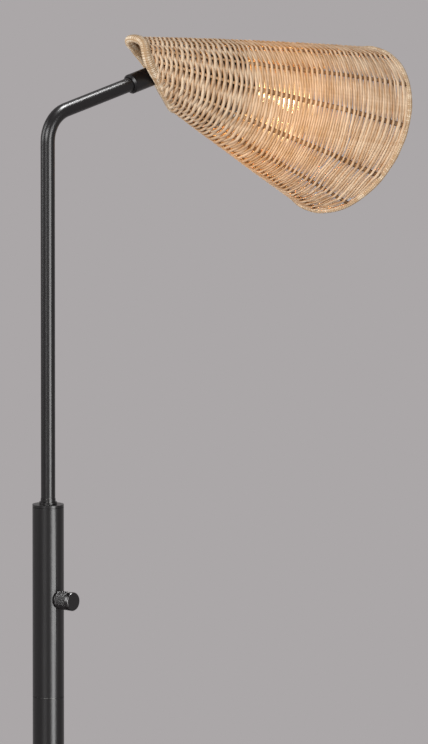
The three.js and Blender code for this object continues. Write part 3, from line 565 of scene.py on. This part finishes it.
print("mouth's edge, mm along the axis: from", round(mouth_edge(even_turns)[0].min(), 1), "to",
      round(mouth_edge(even_turns)[0].max(), 1))

# %% [markdown]
# The rows are not square to the axis. Near the arm they lean with the slanted mouth, and they turn step
# by step until the last one lies along the big rim, so each row is a slanted cut of the tube. The leans
# were read off the photograph at five places. Up to FAN_FROM the rows are plain, a pitch apart, and the
# slanted mouth cuts the first ones short. Beyond it they spread like a fan.

# %% Lean and number of the rows
LEAN_AT = [0, 60, 110, 166, RIM_AT]
LEAN_UP = [-0.34, -0.16, -0.2, -0.072, math.tan(RIM_SLANT)]
LEAN_ACROSS = [0.45, 0.24, 0.28, 0.321, 0.0]
PITCH_AT = [-60, 60, 90, 166]
PITCH = [2.75, 2.78, 2.92, 2.72]
PITCH_STEP = 0.25
FAN_FROM, FAN_PITCH = 166, 2.6
RIM_OVERLAP = 1.0


def row_slope(at, turn):
    """How much a row rises for each millimetre out from the axis, at a turn."""
    return (-np.interp(at, LEAN_AT, LEAN_UP) * np.cos(turn)
            + np.interp(at, LEAN_AT, LEAN_ACROSS) * np.sin(turn))


fine_at = np.arange(PITCH_AT[0], FAN_FROM, PITCH_STEP)
rows_to_go = np.cumsum((PITCH_STEP / np.interp(fine_at, PITCH_AT, PITCH))[::-1])[::-1]
plain_rows = np.interp(-np.arange(0.5, rows_to_go[0])[::-1], -rows_to_go, fine_at)
fan_end = RIM_AT - RIM_ROLL + RIM_OVERLAP
low, _ = slanted_cut(FAN_FROM, row_slope(FAN_FROM, even_turns))
high, _ = slanted_cut(fan_end, row_slope(fan_end, even_turns))
room = (high - low) / FAN_PITCH
full_rows = int(room.min())
pairs = int(math.ceil((room.max() - full_rows) / 2))
print("rows:", len(plain_rows), "plain,", full_rows, "in the fan and", pairs, "pairs of short ones")
print("the fan has room for", round(room.min(), 1), "rows on one side and", round(room.max(), 1),
      "on the other")

# %% [markdown]
# Between the last plain row and the rim the wall is much longer on the near side than on the far one, so
# the weaver adds short rows there. A strand turns back round a stake and makes two rows at once. Each
# pair gets a weight that goes from nothing to one where the room for it opens up, and the places of all
# rows are the running sum of the weights. The pairs lie evenly among the full rows, and steps of the
# golden share choose which begins first, so that neighbours begin far apart. Last, each row is a little
# out of place, as hand work is.

# %% Places of the rows
GOLDEN_SHARE = 0.618034
PAIR_BEFORE = (0.4, 0.3)
WEIGHT_SPREAD = 1.6
ROW_SCATTER = 0.08
rng = np.random.default_rng(12)

order = np.argsort((np.arange(pairs) * GOLDEN_SHARE) % 1.0)
rank = np.empty(pairs)
rank[order] = np.arange(pairs)
pair_after = np.round((np.arange(pairs) + 0.5) * full_rows / pairs).astype(int)
slots = np.concatenate([np.arange(full_rows), pair_after - PAIR_BEFORE[0], pair_after - PAIR_BEFORE[1]])
ranks = np.concatenate([np.full(full_rows, -1.0), rank, rank])
ranks = ranks[np.argsort(slots)]
weights = np.clip(((room - full_rows) / 2 - ranks[:, None]) / WEIGHT_SPREAD, 0, 1)
weights[ranks < 0] = 1.0
places = (np.cumsum(weights, 0) - weights / 2) / weights.sum(0)
fan_rows = FAN_FROM + places * (fan_end - FAN_FROM)

row_at = np.vstack([np.repeat(plain_rows[:, None], SAMPLES, 1), fan_rows])
weight = np.vstack([np.ones((len(plain_rows), SAMPLES)), weights])
row_at = row_at + rng.normal(0, ROW_SCATTER, (len(row_at), 1))
print("woven rows:", len(row_at))

# %% [markdown]
# A weave could be drawn on a plain shell as relief, but that has no slits to see through and a smooth
# edge, so every strand has a path of its own. It passes outside one stake and inside the next, and its
# neighbour does the opposite. Near the arm the rows are loose: they bend over each stake in a long wave
# and slip sideways in pairs, which opens a slit at the stake between each pair and the next. Further on
# they are packed tight, and a strand runs nearly straight and bends sharply at each stake. Where a short
# row begins it is tucked behind the others, and where its weight is next to nothing it isn't there.

# %% Paths of the strands
LOOSE_UNTIL, TIGHT_FROM = 62, 82
WAVE = 1.35
BEND_REACH = 3.1
SHARP_SHARE = 0.65
PAIRING_LOOSE, PAIRING_TIGHT = 0.5, 0.12
OFFSET_DRIFT, PLACE_DRIFT = 0.05, 0.07
TUCK_BELOW, TUCK_SPREAD, TUCK_DEEP = 0.6, 0.45, 1.2
MOUTH_CLEAR, LEAST_WEIGHT = 2.4, 0.15


def wander(rows, waves, size):
    """Slow irregular drift of hand work: a sum of a few waves round the shade, new for each row."""
    drift = np.zeros((rows, SAMPLES))
    for count in waves:
        phase = rng.uniform(0, 2 * math.pi, (rows, 1))
        drift += rng.normal(0, size, (rows, 1)) * np.cos(count * even_turns + phase)
    return drift


turns = even_turns + twist(row_at.mean(1, keepdims=True))
loose = np.clip((TIGHT_FROM - row_at) / (TIGHT_FROM - LOOSE_UNTIL), 0, 1)
nearest = np.round(stake_count)
_, wall_out = slanted_cut(row_at, row_slope(row_at, turns))
from_stake = wall_out * (even_turns - np.interp(nearest, np.arange(STAKES + 1), stake_turns))
sharp = np.cos(math.pi * nearest) * np.exp(-(from_stake / BEND_REACH) ** 2)
slow = np.cos(math.pi * stake_count)
sharp_share = SHARP_SHARE * (1 - loose)
side = np.where(np.arange(len(row_at)) % 2, 1, -1)[:, None]
offset = WAVE * side * (sharp_share * sharp + (1 - sharp_share) * slow)
offset = offset + wander(len(row_at), (3, 5, 8), OFFSET_DRIFT)
offset = offset - TUCK_DEEP * np.clip((TUCK_BELOW - weight) / TUCK_SPREAD, 0, 1)
pairing = side * slow ** 3 * (PAIRING_TIGHT + (PAIRING_LOOSE - PAIRING_TIGHT) * loose)
along, out = slanted_cut(row_at + pairing + wander(len(row_at), (2, 4, 7), PLACE_DRIFT),
                         row_slope(row_at, turns), offset)
keep = (above_mouth(along, turns) > MOUTH_CLEAR * (1 - mouth_sink(turns))) & (weight > LEAST_WEIGHT)
paths = shade_point(along, out, turns)
print("samples kept:", int(keep.sum()), "of", keep.size)

# %% [markdown]
# Each new piece is a surface worked out as whole arrays of points. This helper turns the arrays into a
# mesh, lets it ride on one of the lamp's bodies and hides the pieces of the model that it takes the place
# of.

# %% Meshes from arrays
def piece(name, points, faces, material, body, replaces, uv=None, tint=None):
    """A named mesh in the lamp's own frame, riding on a body. faces is a list of arrays, one for each
    number of corners. uv has a pair for each corner, in the order of faces."""
    mesh = bpy.data.meshes.new(name)
    points = np.asarray(points, np.float32).reshape(-1, 3)
    corners = np.concatenate([np.asarray(block, np.int32).ravel() for block in faces])
    counts = np.concatenate([np.full(len(block), np.shape(block)[1]) for block in faces])
    mesh.vertices.add(len(points))
    mesh.vertices.foreach_set("co", points.ravel())
    mesh.loops.add(len(corners))
    mesh.loops.foreach_set("vertex_index", corners)
    mesh.polygons.add(len(counts))
    mesh.polygons.foreach_set("loop_start", np.concatenate([[0], np.cumsum(counts)[:-1]]).astype(np.int32))
    mesh.update(calc_edges=True)
    mesh.polygons.foreach_set("use_smooth", np.ones(len(counts), bool))
    if uv is not None:
        layer = mesh.uv_layers.new(name="along")
        layer.data.foreach_set("uv", np.asarray(uv, np.float32).ravel())
    if tint is not None:
        shade = mesh.attributes.new("tint", "FLOAT", "POINT")
        shade.data.foreach_set("value", np.asarray(tint, np.float32).ravel())
    mesh.validate()
    mesh.materials.append(material)
    made = bpy.data.objects.new(name, mesh)
    bpy.context.scene.collection.objects.link(made)
    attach(made, body)
    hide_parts(*replaces)
    return made


# %% [markdown]
# A strand, a stake and a wire are all an oval section carried along a path. A curve with a bevel could
# draw one of them. Arrays draw many in one go, with a width for each sample and a stop at the mouth.

# %% Swept tubes
def ring_faces(ring, after, sides):
    """Faces of four corners between rings of points and the ones after them, all the way round."""
    one, two = np.arange(sides), (np.arange(sides) + 1) % sides
    ring, after = ring[:, None] * sides, after[:, None] * sides
    return np.stack([ring + one, ring + two, after + two, after + one], -1).reshape(-1, 4)


def swept(paths, outward, half_width, half_depth, sides, keep=None, closed=True):
    """Oval tubes round many paths at once. paths and outward are arrays of rows, samples and three
    coordinates, and the half width is one for all or one for each sample. Round each sample the section
    goes from outward to the tangent's left. keep says which samples of each row are there, and a flat cap
    closes every end. Returns points, faces and uv, in which u is the length along the row in millimetres
    and v is the share of the way round."""
    rows, samples = paths.shape[:2]
    half_width = np.broadcast_to(half_width, (rows, samples))[..., None, None]
    if closed:
        tangent = np.roll(paths, -1, 1) - np.roll(paths, 1, 1)
    else:
        tangent = np.gradient(paths, axis=1)
    tangent /= np.linalg.norm(tangent, axis=2, keepdims=True)
    side = np.cross(tangent, outward)
    side /= np.linalg.norm(side, axis=2, keepdims=True)
    depth = np.cross(side, tangent)
    angle = np.linspace(0, 2 * math.pi, sides, endpoint=False)
    points = (paths[:, :, None] + depth[:, :, None] * (np.cos(angle) * half_depth)[:, None]
              + side[:, :, None] * np.sin(angle)[:, None] * half_width)
    keep = np.ones((rows, samples), bool) if keep is None else keep
    follows, before = np.roll(keep, -1, 1), np.roll(keep, 1, 1)
    if not closed:
        follows[:, -1] = False
        before[:, 0] = False
    row, sample = np.nonzero(keep & follows)
    quads = ring_faces(row * samples + sample, row * samples + (sample + 1) % samples, sides)
    step = np.linalg.norm(np.roll(paths, -1, 1) - paths, axis=2) / MM
    run = np.cumsum(step, 1) - step
    low, high = run[row, sample], (run + step)[row, sample]
    lengths = np.repeat(np.stack([low, low, high, high], -1)[:, None], sides, 1)
    one = np.arange(sides)
    share, next_share = one / sides, (one + 1) / sides
    shares = np.broadcast_to(np.stack([share, next_share, next_share, share], -1), lengths.shape)
    uv = np.stack([lengths, shares], -1).reshape(-1, 2)
    begins = np.stack(np.nonzero(keep & follows & ~before), -1)
    ends = np.stack(np.nonzero(keep & before & ~follows), -1)
    caps = np.concatenate([
        (begins[:, 0] * samples + begins[:, 1])[:, None] * sides + one[::-1],
        (ends[:, 0] * samples + ends[:, 1])[:, None] * sides + one])
    if len(caps):
        cap_uv = np.zeros((len(caps) * sides, 2))
        return points.reshape(-1, 3), [quads, caps], np.vstack([uv, cap_uv])
    return points.reshape(-1, 3), [quads], uv


# %% [markdown]
# A strand is as wide as the spacing of its row, times a share that is more than one so that neighbours
# press together. Each has a tone of its own that drifts a little along it. The rows are cut into four
# bands, each under 200,000 triangles, and each band is swept in one go. They take the place of the model's
# plain shell, which is hidden.

# %% The woven shell
STRAND_DEEP, STRAND_SIDES = 0.8, 8
FILL_AT = [62, 82, 120, 180, 205]
FILL = [1.3, 1.2, 1.08, 1.1, 1.24]
STRAND_TONE, STRAND_SCATTER, STRAND_DRIFT = 0.5, 0.12, 0.06
BANDS = 4

tone = np.repeat(rng.normal(STRAND_TONE, STRAND_SCATTER, (len(row_at), 1)), SAMPLES, 1)
tone = tone + wander(len(row_at), (1, 2), STRAND_DRIFT)
outward = wall_direction(turns)
forward = np.roll(paths, -1, 1) - np.roll(paths, 1, 1)
across_row = np.cross(forward, outward)
across_row /= np.linalg.norm(across_row, axis=2, keepdims=True)
gap = np.empty(paths.shape[:2])
gap[1:-1] = np.abs(((paths[2:] - paths[:-2]) * across_row[1:-1]).sum(2)) / 2
gap[[0, -1]] = gap[[1, -2]]
half_wide = gap / 2 * np.interp(row_at, FILL_AT, FILL)
print("strands, mm wide:", np.round(2 * np.percentile(half_wide, [5, 50, 95]) / MM, 2))
bands = np.array_split(np.arange(len(row_at)), BANDS)
for number, rows in enumerate(bands, 1):
    points, faces, uv = swept(paths[rows], outward[rows], half_wide[rows], STRAND_DEEP * MM,
                              STRAND_SIDES, keep[rows])
    band = piece(f"woven_band_{number}", points, faces, woven_strand, "shade",
                 ["shade_weave"], uv, np.repeat(tone[rows][..., None], STRAND_SIDES, 2))
    print(band.name, "has", len(band.data.polygons), "faces")

# %% [markdown]
# The stakes are flat strips of rattan, 1.2 mm thick. Twelve run the whole length, from the mouth's border
# to the rim's, and each turns a little about the axis on its way. Where the weave is loose they are narrow
# and pale, and where it is tight they are wide and painted dark, for the shade they lie in between the
# strands.

# %% Stakes
STAKE_WIDE_LOOSE, STAKE_WIDE_TIGHT, STAKE_DEEP = 1.4, 2.3, 0.6
STAKE_TONE_LOOSE, STAKE_SHADE_TIGHT, STAKE_SCATTER = 1.15, 0.0, 0.15
STAKE_SAMPLES, STAKE_SIDES = 40, 8

stake_from, _ = mouth_edge(stake_turns[:-1])
stake_to, _ = slanted_cut(RIM_AT, row_slope(RIM_AT, stake_turns[:-1]))
stake_share = np.linspace(0, 1, STAKE_SAMPLES)
stake_along = stake_from[:, None] + (stake_to - stake_from)[:, None] * stake_share
stake_turn = stake_turns[:-1, None] + twist(stake_along)
stake_path = shade_point(*slanted_cut(stake_along, 0.0), stake_turn)
stake_wide = np.interp(stake_along, [LOOSE_UNTIL, TIGHT_FROM], [STAKE_WIDE_LOOSE, STAKE_WIDE_TIGHT])
# Painted shade: the stakes' tone goes dark where the tight weave shades them.
stake_tone = np.interp(stake_along, [LOOSE_UNTIL, TIGHT_FROM], [STAKE_TONE_LOOSE, STAKE_SHADE_TIGHT])
stake_tone = stake_tone + rng.normal(0, STAKE_SCATTER, stake_turn.shape)
points, faces, uv = swept(stake_path, wall_direction(stake_turn), stake_wide * MM, STAKE_DEEP * MM,
                          STAKE_SIDES, closed=False)
stakes = piece("stakes", points, faces, stake_rattan, "shade", ["shade_weave"], uv,
               np.repeat(stake_tone[..., None], STAKE_SIDES, 2))
print(stakes.name, len(stake_path))

# %% [markdown]
# Each opening has a wire hoop with thin strand wound tightly round it, which hides the ends of the
# stakes. A roll like that is one closed surface: a round or oval section carried round the opening, whose
# radius rises and falls once for each turn of the strand. The crests creep round the section as they go,
# because the strand is wound as a screw. On the underside the mouth's roll is also made thinner, which
# keeps it clear of the arm's sleeve when the shade tilts down.

# %% Wrapped borders
MOUTH_BAND_WIDE, MOUTH_BAND_DEEP, MOUTH_CREST, MOUTH_THIN_SHARE = 4.9, 3.9, 0.7, 0.9
RIM_CREST = 0.3
WRAP_PITCH = 1.9
EDGE_SAMPLES = 4000
CREST_POWER = 0.7
LUMP, LUMP_RATE, LUMP_BEND, LUMP_BEND_RATE = 0.12, 0.21, 2, 0.05
WRAP_TONE, WRAP_SCATTER, WRAP_GROOVE_SHADE = 0.5, 0.2, 0.9
WRAP_U, WRAP_V = 6, 3.0


def round_half(value):
    """The nearest whole number."""
    return math.floor(value + 0.5)


def wrapped_roll(name, edge, wide, deep, crest, body_node, steps=6, sides=20, thinned=None):
    """A roll along an edge of the wall, wide in the wall and deep across it. Both halves are less by a
    crest, and regain it times a power of a cosine that peaks once for each turn of the strand, so every
    turn shows as one rounded ridge. Slow lumps make it uneven. thinned takes some of the depth away, by
    an amount that it works out from the turn round the shade."""
    fine = np.linspace(0, 2 * math.pi, EDGE_SAMPLES, endpoint=False)
    centre = shade_point(*edge(fine), fine)
    length = np.linalg.norm(np.roll(centre, -1, 0) - centre, axis=1)
    run = np.concatenate([[0], np.cumsum(length)]) / MM
    wraps = round_half(run[-1] / WRAP_PITCH)
    samples = wraps * steps
    station = np.arange(samples) / samples * run[-1]
    turn = np.interp(station, run, np.append(fine, 2 * math.pi))
    centre = shade_point(*edge(turn), turn)
    tangent = np.roll(centre, -1, 0) - np.roll(centre, 1, 0)
    tangent /= np.linalg.norm(tangent, axis=1, keepdims=True)
    in_wall = np.cross(tangent, wall_direction(turn))
    in_wall /= np.linalg.norm(in_wall, axis=1, keepdims=True)
    facing = np.cross(in_wall, tangent)
    if thinned is not None:
        deep = (deep - thinned(turn))[:, None]
    angle = np.arange(sides) / sides * 2 * math.pi
    cycle = station[:, None] / run[-1] * wraps + angle / (2 * math.pi)
    bend = LUMP_BEND * np.sin(station[:, None] * LUMP_BEND_RATE)
    uneven = LUMP * np.cos(station[:, None] * LUMP_RATE + bend)
    crest_share = np.abs(np.cos(math.pi * cycle)) ** CREST_POWER
    lift = crest * (crest_share - 1) + uneven
    points = (centre[:, None] + MM * ((deep + lift) * np.cos(angle))[..., None] * facing[:, None]
              + MM * ((wide + lift) * np.sin(angle))[..., None] * in_wall[:, None])
    ring = np.arange(samples)
    quads = ring_faces(ring, (ring + 1) % samples, sides)
    face_uv = np.stack([np.broadcast_to(angle, cycle.shape) * WRAP_U, cycle * WRAP_V], -1)
    uv = np.repeat(face_uv.reshape(-1, 2), 4, 0)
    strand = rng.normal(WRAP_TONE, WRAP_SCATTER, wraps + 2)
    # Painted shade: each turn of the strand is darker in the groove between it and the next.
    tint = strand[np.floor(cycle + 0.5).astype(int)] - WRAP_GROOVE_SHADE * (1 - crest_share)
    piece(name, points, [quads], wrapped_strand, "shade", [body_node], uv, tint)
    print(name, "has", wraps, "turns of strand over", round_half(run[-1]), "mm")


def rim_edge(turn):
    """The rim's edge on the wall: a slanted plane's cut."""
    return slanted_cut(RIM_AT, math.tan(RIM_SLANT) * np.cos(turn - RIM_TURN))


wrapped_roll("mouth_wrapping", band_edge, MOUTH_BAND_WIDE, MOUTH_BAND_DEEP, MOUTH_CREST, "mouth_border",
             thinned=lambda turn: MOUTH_THIN_SHARE * mouth_sink(turn))
wrapped_roll("rim_wrapping", rim_edge, RIM_ROLL, RIM_ROLL, RIM_CREST, "rim_border", sides=16)

# %% [markdown]
# The wire inside the mouth's roll gives it its shape. The model's wire lies in one plane, so a new one
# is swept along the bent edge.

# %% Mouth wire
WIRE_HALF, WIRE_SAMPLES, WIRE_SIDES = 1.4 * MM, 240, 12
wire_turn = np.linspace(0, 2 * math.pi, WIRE_SAMPLES, endpoint=False)
wire_path = shade_point(*band_edge(wire_turn), wire_turn)[None]
points, faces, uv = swept(wire_path, wall_direction(wire_turn)[None], WIRE_HALF, WIRE_HALF, WIRE_SIDES)
wire = piece("mouth_wire", points, faces, plated_steel, "shade", ["mouth_hoop"], uv)
print(wire.name, len(wire.data.polygons), "faces")

# %% [markdown]
# The knob came off a lathe, so it is a profile turned round an axis. Its sizes are read from the model's
# knob, shaft and set screw, along the axis that the switch turns on.

# %% A turned shape
def cross_axes(axis):
    """Two directions square to axis and to each other, so that the three are right-handed."""
    axis = np.asarray(axis, float) / np.linalg.norm(axis)
    first = np.cross([0, 1, 0], axis)
    first /= np.linalg.norm(first)
    return first, np.cross(axis, first), axis


def turned(profile, origin, axis, sides, lowered):
    """Points and faces of a profile turned round an axis. The profile starts and ends on the axis and
    runs anticlockwise as [radius, height]. lowered gives how far each point sinks towards the axis, from
    its radius, height, angle and spoke."""
    profile = np.asarray(profile, float)
    first, second, axis = cross_axes(axis)
    angle = np.linspace(0, 2 * math.pi, sides, endpoint=False)
    spokes = np.cos(angle)[:, None] * first + np.sin(angle)[:, None] * second
    rings = profile[1:-1]
    count = len(rings)
    radius, height = np.repeat(rings[:, :1], sides, 1), np.repeat(rings[:, 1:], sides, 1)
    radius = radius - lowered(radius, height, angle, spokes)
    points = origin + radius[..., None] * spokes + height[..., None] * axis
    ends = np.asarray(origin) + profile[[0, -1], 1, None] * axis
    quads = ring_faces(np.arange(count - 1), np.arange(1, count), sides)
    foot, tip = count * sides, count * sides + 1
    near, far = np.arange(sides), (np.arange(sides) + 1) % sides
    fans = np.concatenate([
        np.stack([np.full(sides, foot), far, near], -1),
        np.stack([np.full(sides, tip), (count - 1) * sides + near, (count - 1) * sides + far], -1)])
    return np.vstack([points.reshape(-1, 3), ends]), [quads, fans]


def spans(node, origin, axis):
    """Lowest and highest place of a node along an axis, and its largest distance from it."""
    points = np.array([v.co for v in frame["nodes"][node].data.vertices], float) - origin
    axis = np.asarray(axis, float) / np.linalg.norm(axis)
    along = points @ axis
    away = np.linalg.norm(points - along[:, None] * axis, axis=1)
    return along.min(), along.max(), away.max()


knob_origin = np.array(joints["switch_turn"]["pos_m"])
knob_axis = np.array(joints["switch_turn"]["axis"])
knob_axis *= np.sign(spans("switch_knob", knob_origin, knob_axis)[0])
knob_back, knob_front, knob_radius = spans("switch_knob", knob_origin, knob_axis)
shaft_end = spans("switch_shaft", knob_origin, knob_axis)[1]
screw_low, screw_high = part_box("knob_set_screw")
screw_middle = np.array((screw_low + screw_high) / 2) - knob_origin
print("knob, mm: radius", round(knob_radius / MM, 1), "and length",
      round((knob_front - knob_back) / MM, 1))

# %% [markdown]
# The knob is knurled: a hard wheel presses crossing grooves into it, which leave rows of small pyramids
# to grip. A smooth band with a chamfer stays at the outer end. The grooves could be cut one by one with
# boolean tools. Here the profile's radius is lowered instead, along the knurled length only, by two
# families of crossing grooves, and a round seat is sunk for the set screw, all in one closed surface.

# %% The knurled knob
KNURL_PITCH, KNURL_AROUND, KNURL_DEPTH = 2.3 * MM, 22, 0.55 * MM
KNURL_POWER, KNURL_STATIONS, KNURL_SIDES = 0.6, 72, 208
BAND, CHAMFER, CLEAR = 3.6 * MM, 0.8 * MM, 0.3 * MM
BORE, RECESS, RECESS_DEPTH = 3.3 * MM, 6.9 * MM, 6.5 * MM
SCREW_HOLE, SCREW_SUNK = 1.8 * MM, 1.0 * MM
SHARP_ABOVE = math.radians(20)


def knurl(radius, height, angle, spokes):
    """Depth of the knurl: one less a power of the product of two cosine ridges that climb opposite ways,
    and the sunk round seat of the set screw."""
    round_turn = KNURL_AROUND * angle / 2
    climb = math.pi * (height - knob_back) / KNURL_PITCH
    ridge = np.abs(np.cos(round_turn + climb) * np.cos(round_turn - climb)) ** KNURL_POWER
    ends = np.clip((height - knob_back - CLEAR) / CLEAR, 0, 1) * np.clip(
        (knob_front - BAND - height) / CLEAR, 0, 1)
    outside = radius > knob_radius - CLEAR / 10
    place = radius[..., None] * spokes + height[..., None] * knob_axis
    screw_foot = (screw_middle @ knob_axis) * knob_axis
    screw_line = screw_middle - screw_foot
    screw_line /= np.linalg.norm(screw_line)
    offset = place - screw_foot
    away = np.linalg.norm(offset - (offset @ screw_line)[..., None] * screw_line, axis=-1)
    seat = outside & (away < SCREW_HOLE) & (offset @ screw_line > 0)
    return np.where(seat, SCREW_SUNK, outside * ends * KNURL_DEPTH * (1 - ridge))


stations = np.linspace(knob_back, knob_front - CHAMFER, KNURL_STATIONS)
knob_profile = [[0, shaft_end + CLEAR], [BORE, shaft_end + CLEAR], [BORE, knob_back + RECESS_DEPTH],
                [RECESS, knob_back + RECESS_DEPTH], [RECESS, knob_back]]
knob_profile += [[knob_radius, station] for station in stations]
knob_profile += [[knob_radius - CHAMFER / 2, knob_front - CHAMFER / 4], [knob_radius - CHAMFER, knob_front],
                 [0, knob_front]]
points, faces = turned(knob_profile, knob_origin, knob_axis, KNURL_SIDES, knurl)
knob = piece("knurled_knob", points, faces, knob_lacquer, "knob", ["switch_knob"])
knob.data.set_sharp_from_angle(angle=SHARP_ABOVE)
print(knob.name, len(knob.data.polygons), "faces")

# %% [markdown]
# The bulb lights the shade from inside with a small warm lamp at its middle, which rides on the shade.
# It is weak, because the strands' own glow already shows the light that comes through them.

# %% Light of the bulb
BULB_POWER, BULB_RADIUS = 0.42, 12 * MM
bulb_light = bpy.data.lights.new("bulb_light", "POINT")
bulb_light.energy = BULB_POWER
bulb_light.color = linear(GLOW_COLOUR)[:3]
bulb_light.shadow_soft_size = BULB_RADIUS
bulb = bpy.data.objects.new("bulb_light", bulb_light)
bpy.context.scene.collection.objects.link(bulb)
bulb.parent = frame["bodies"]["shade"]
bulb.location = bulb_centre
print("bulb's light, metres:", bulb_centre)
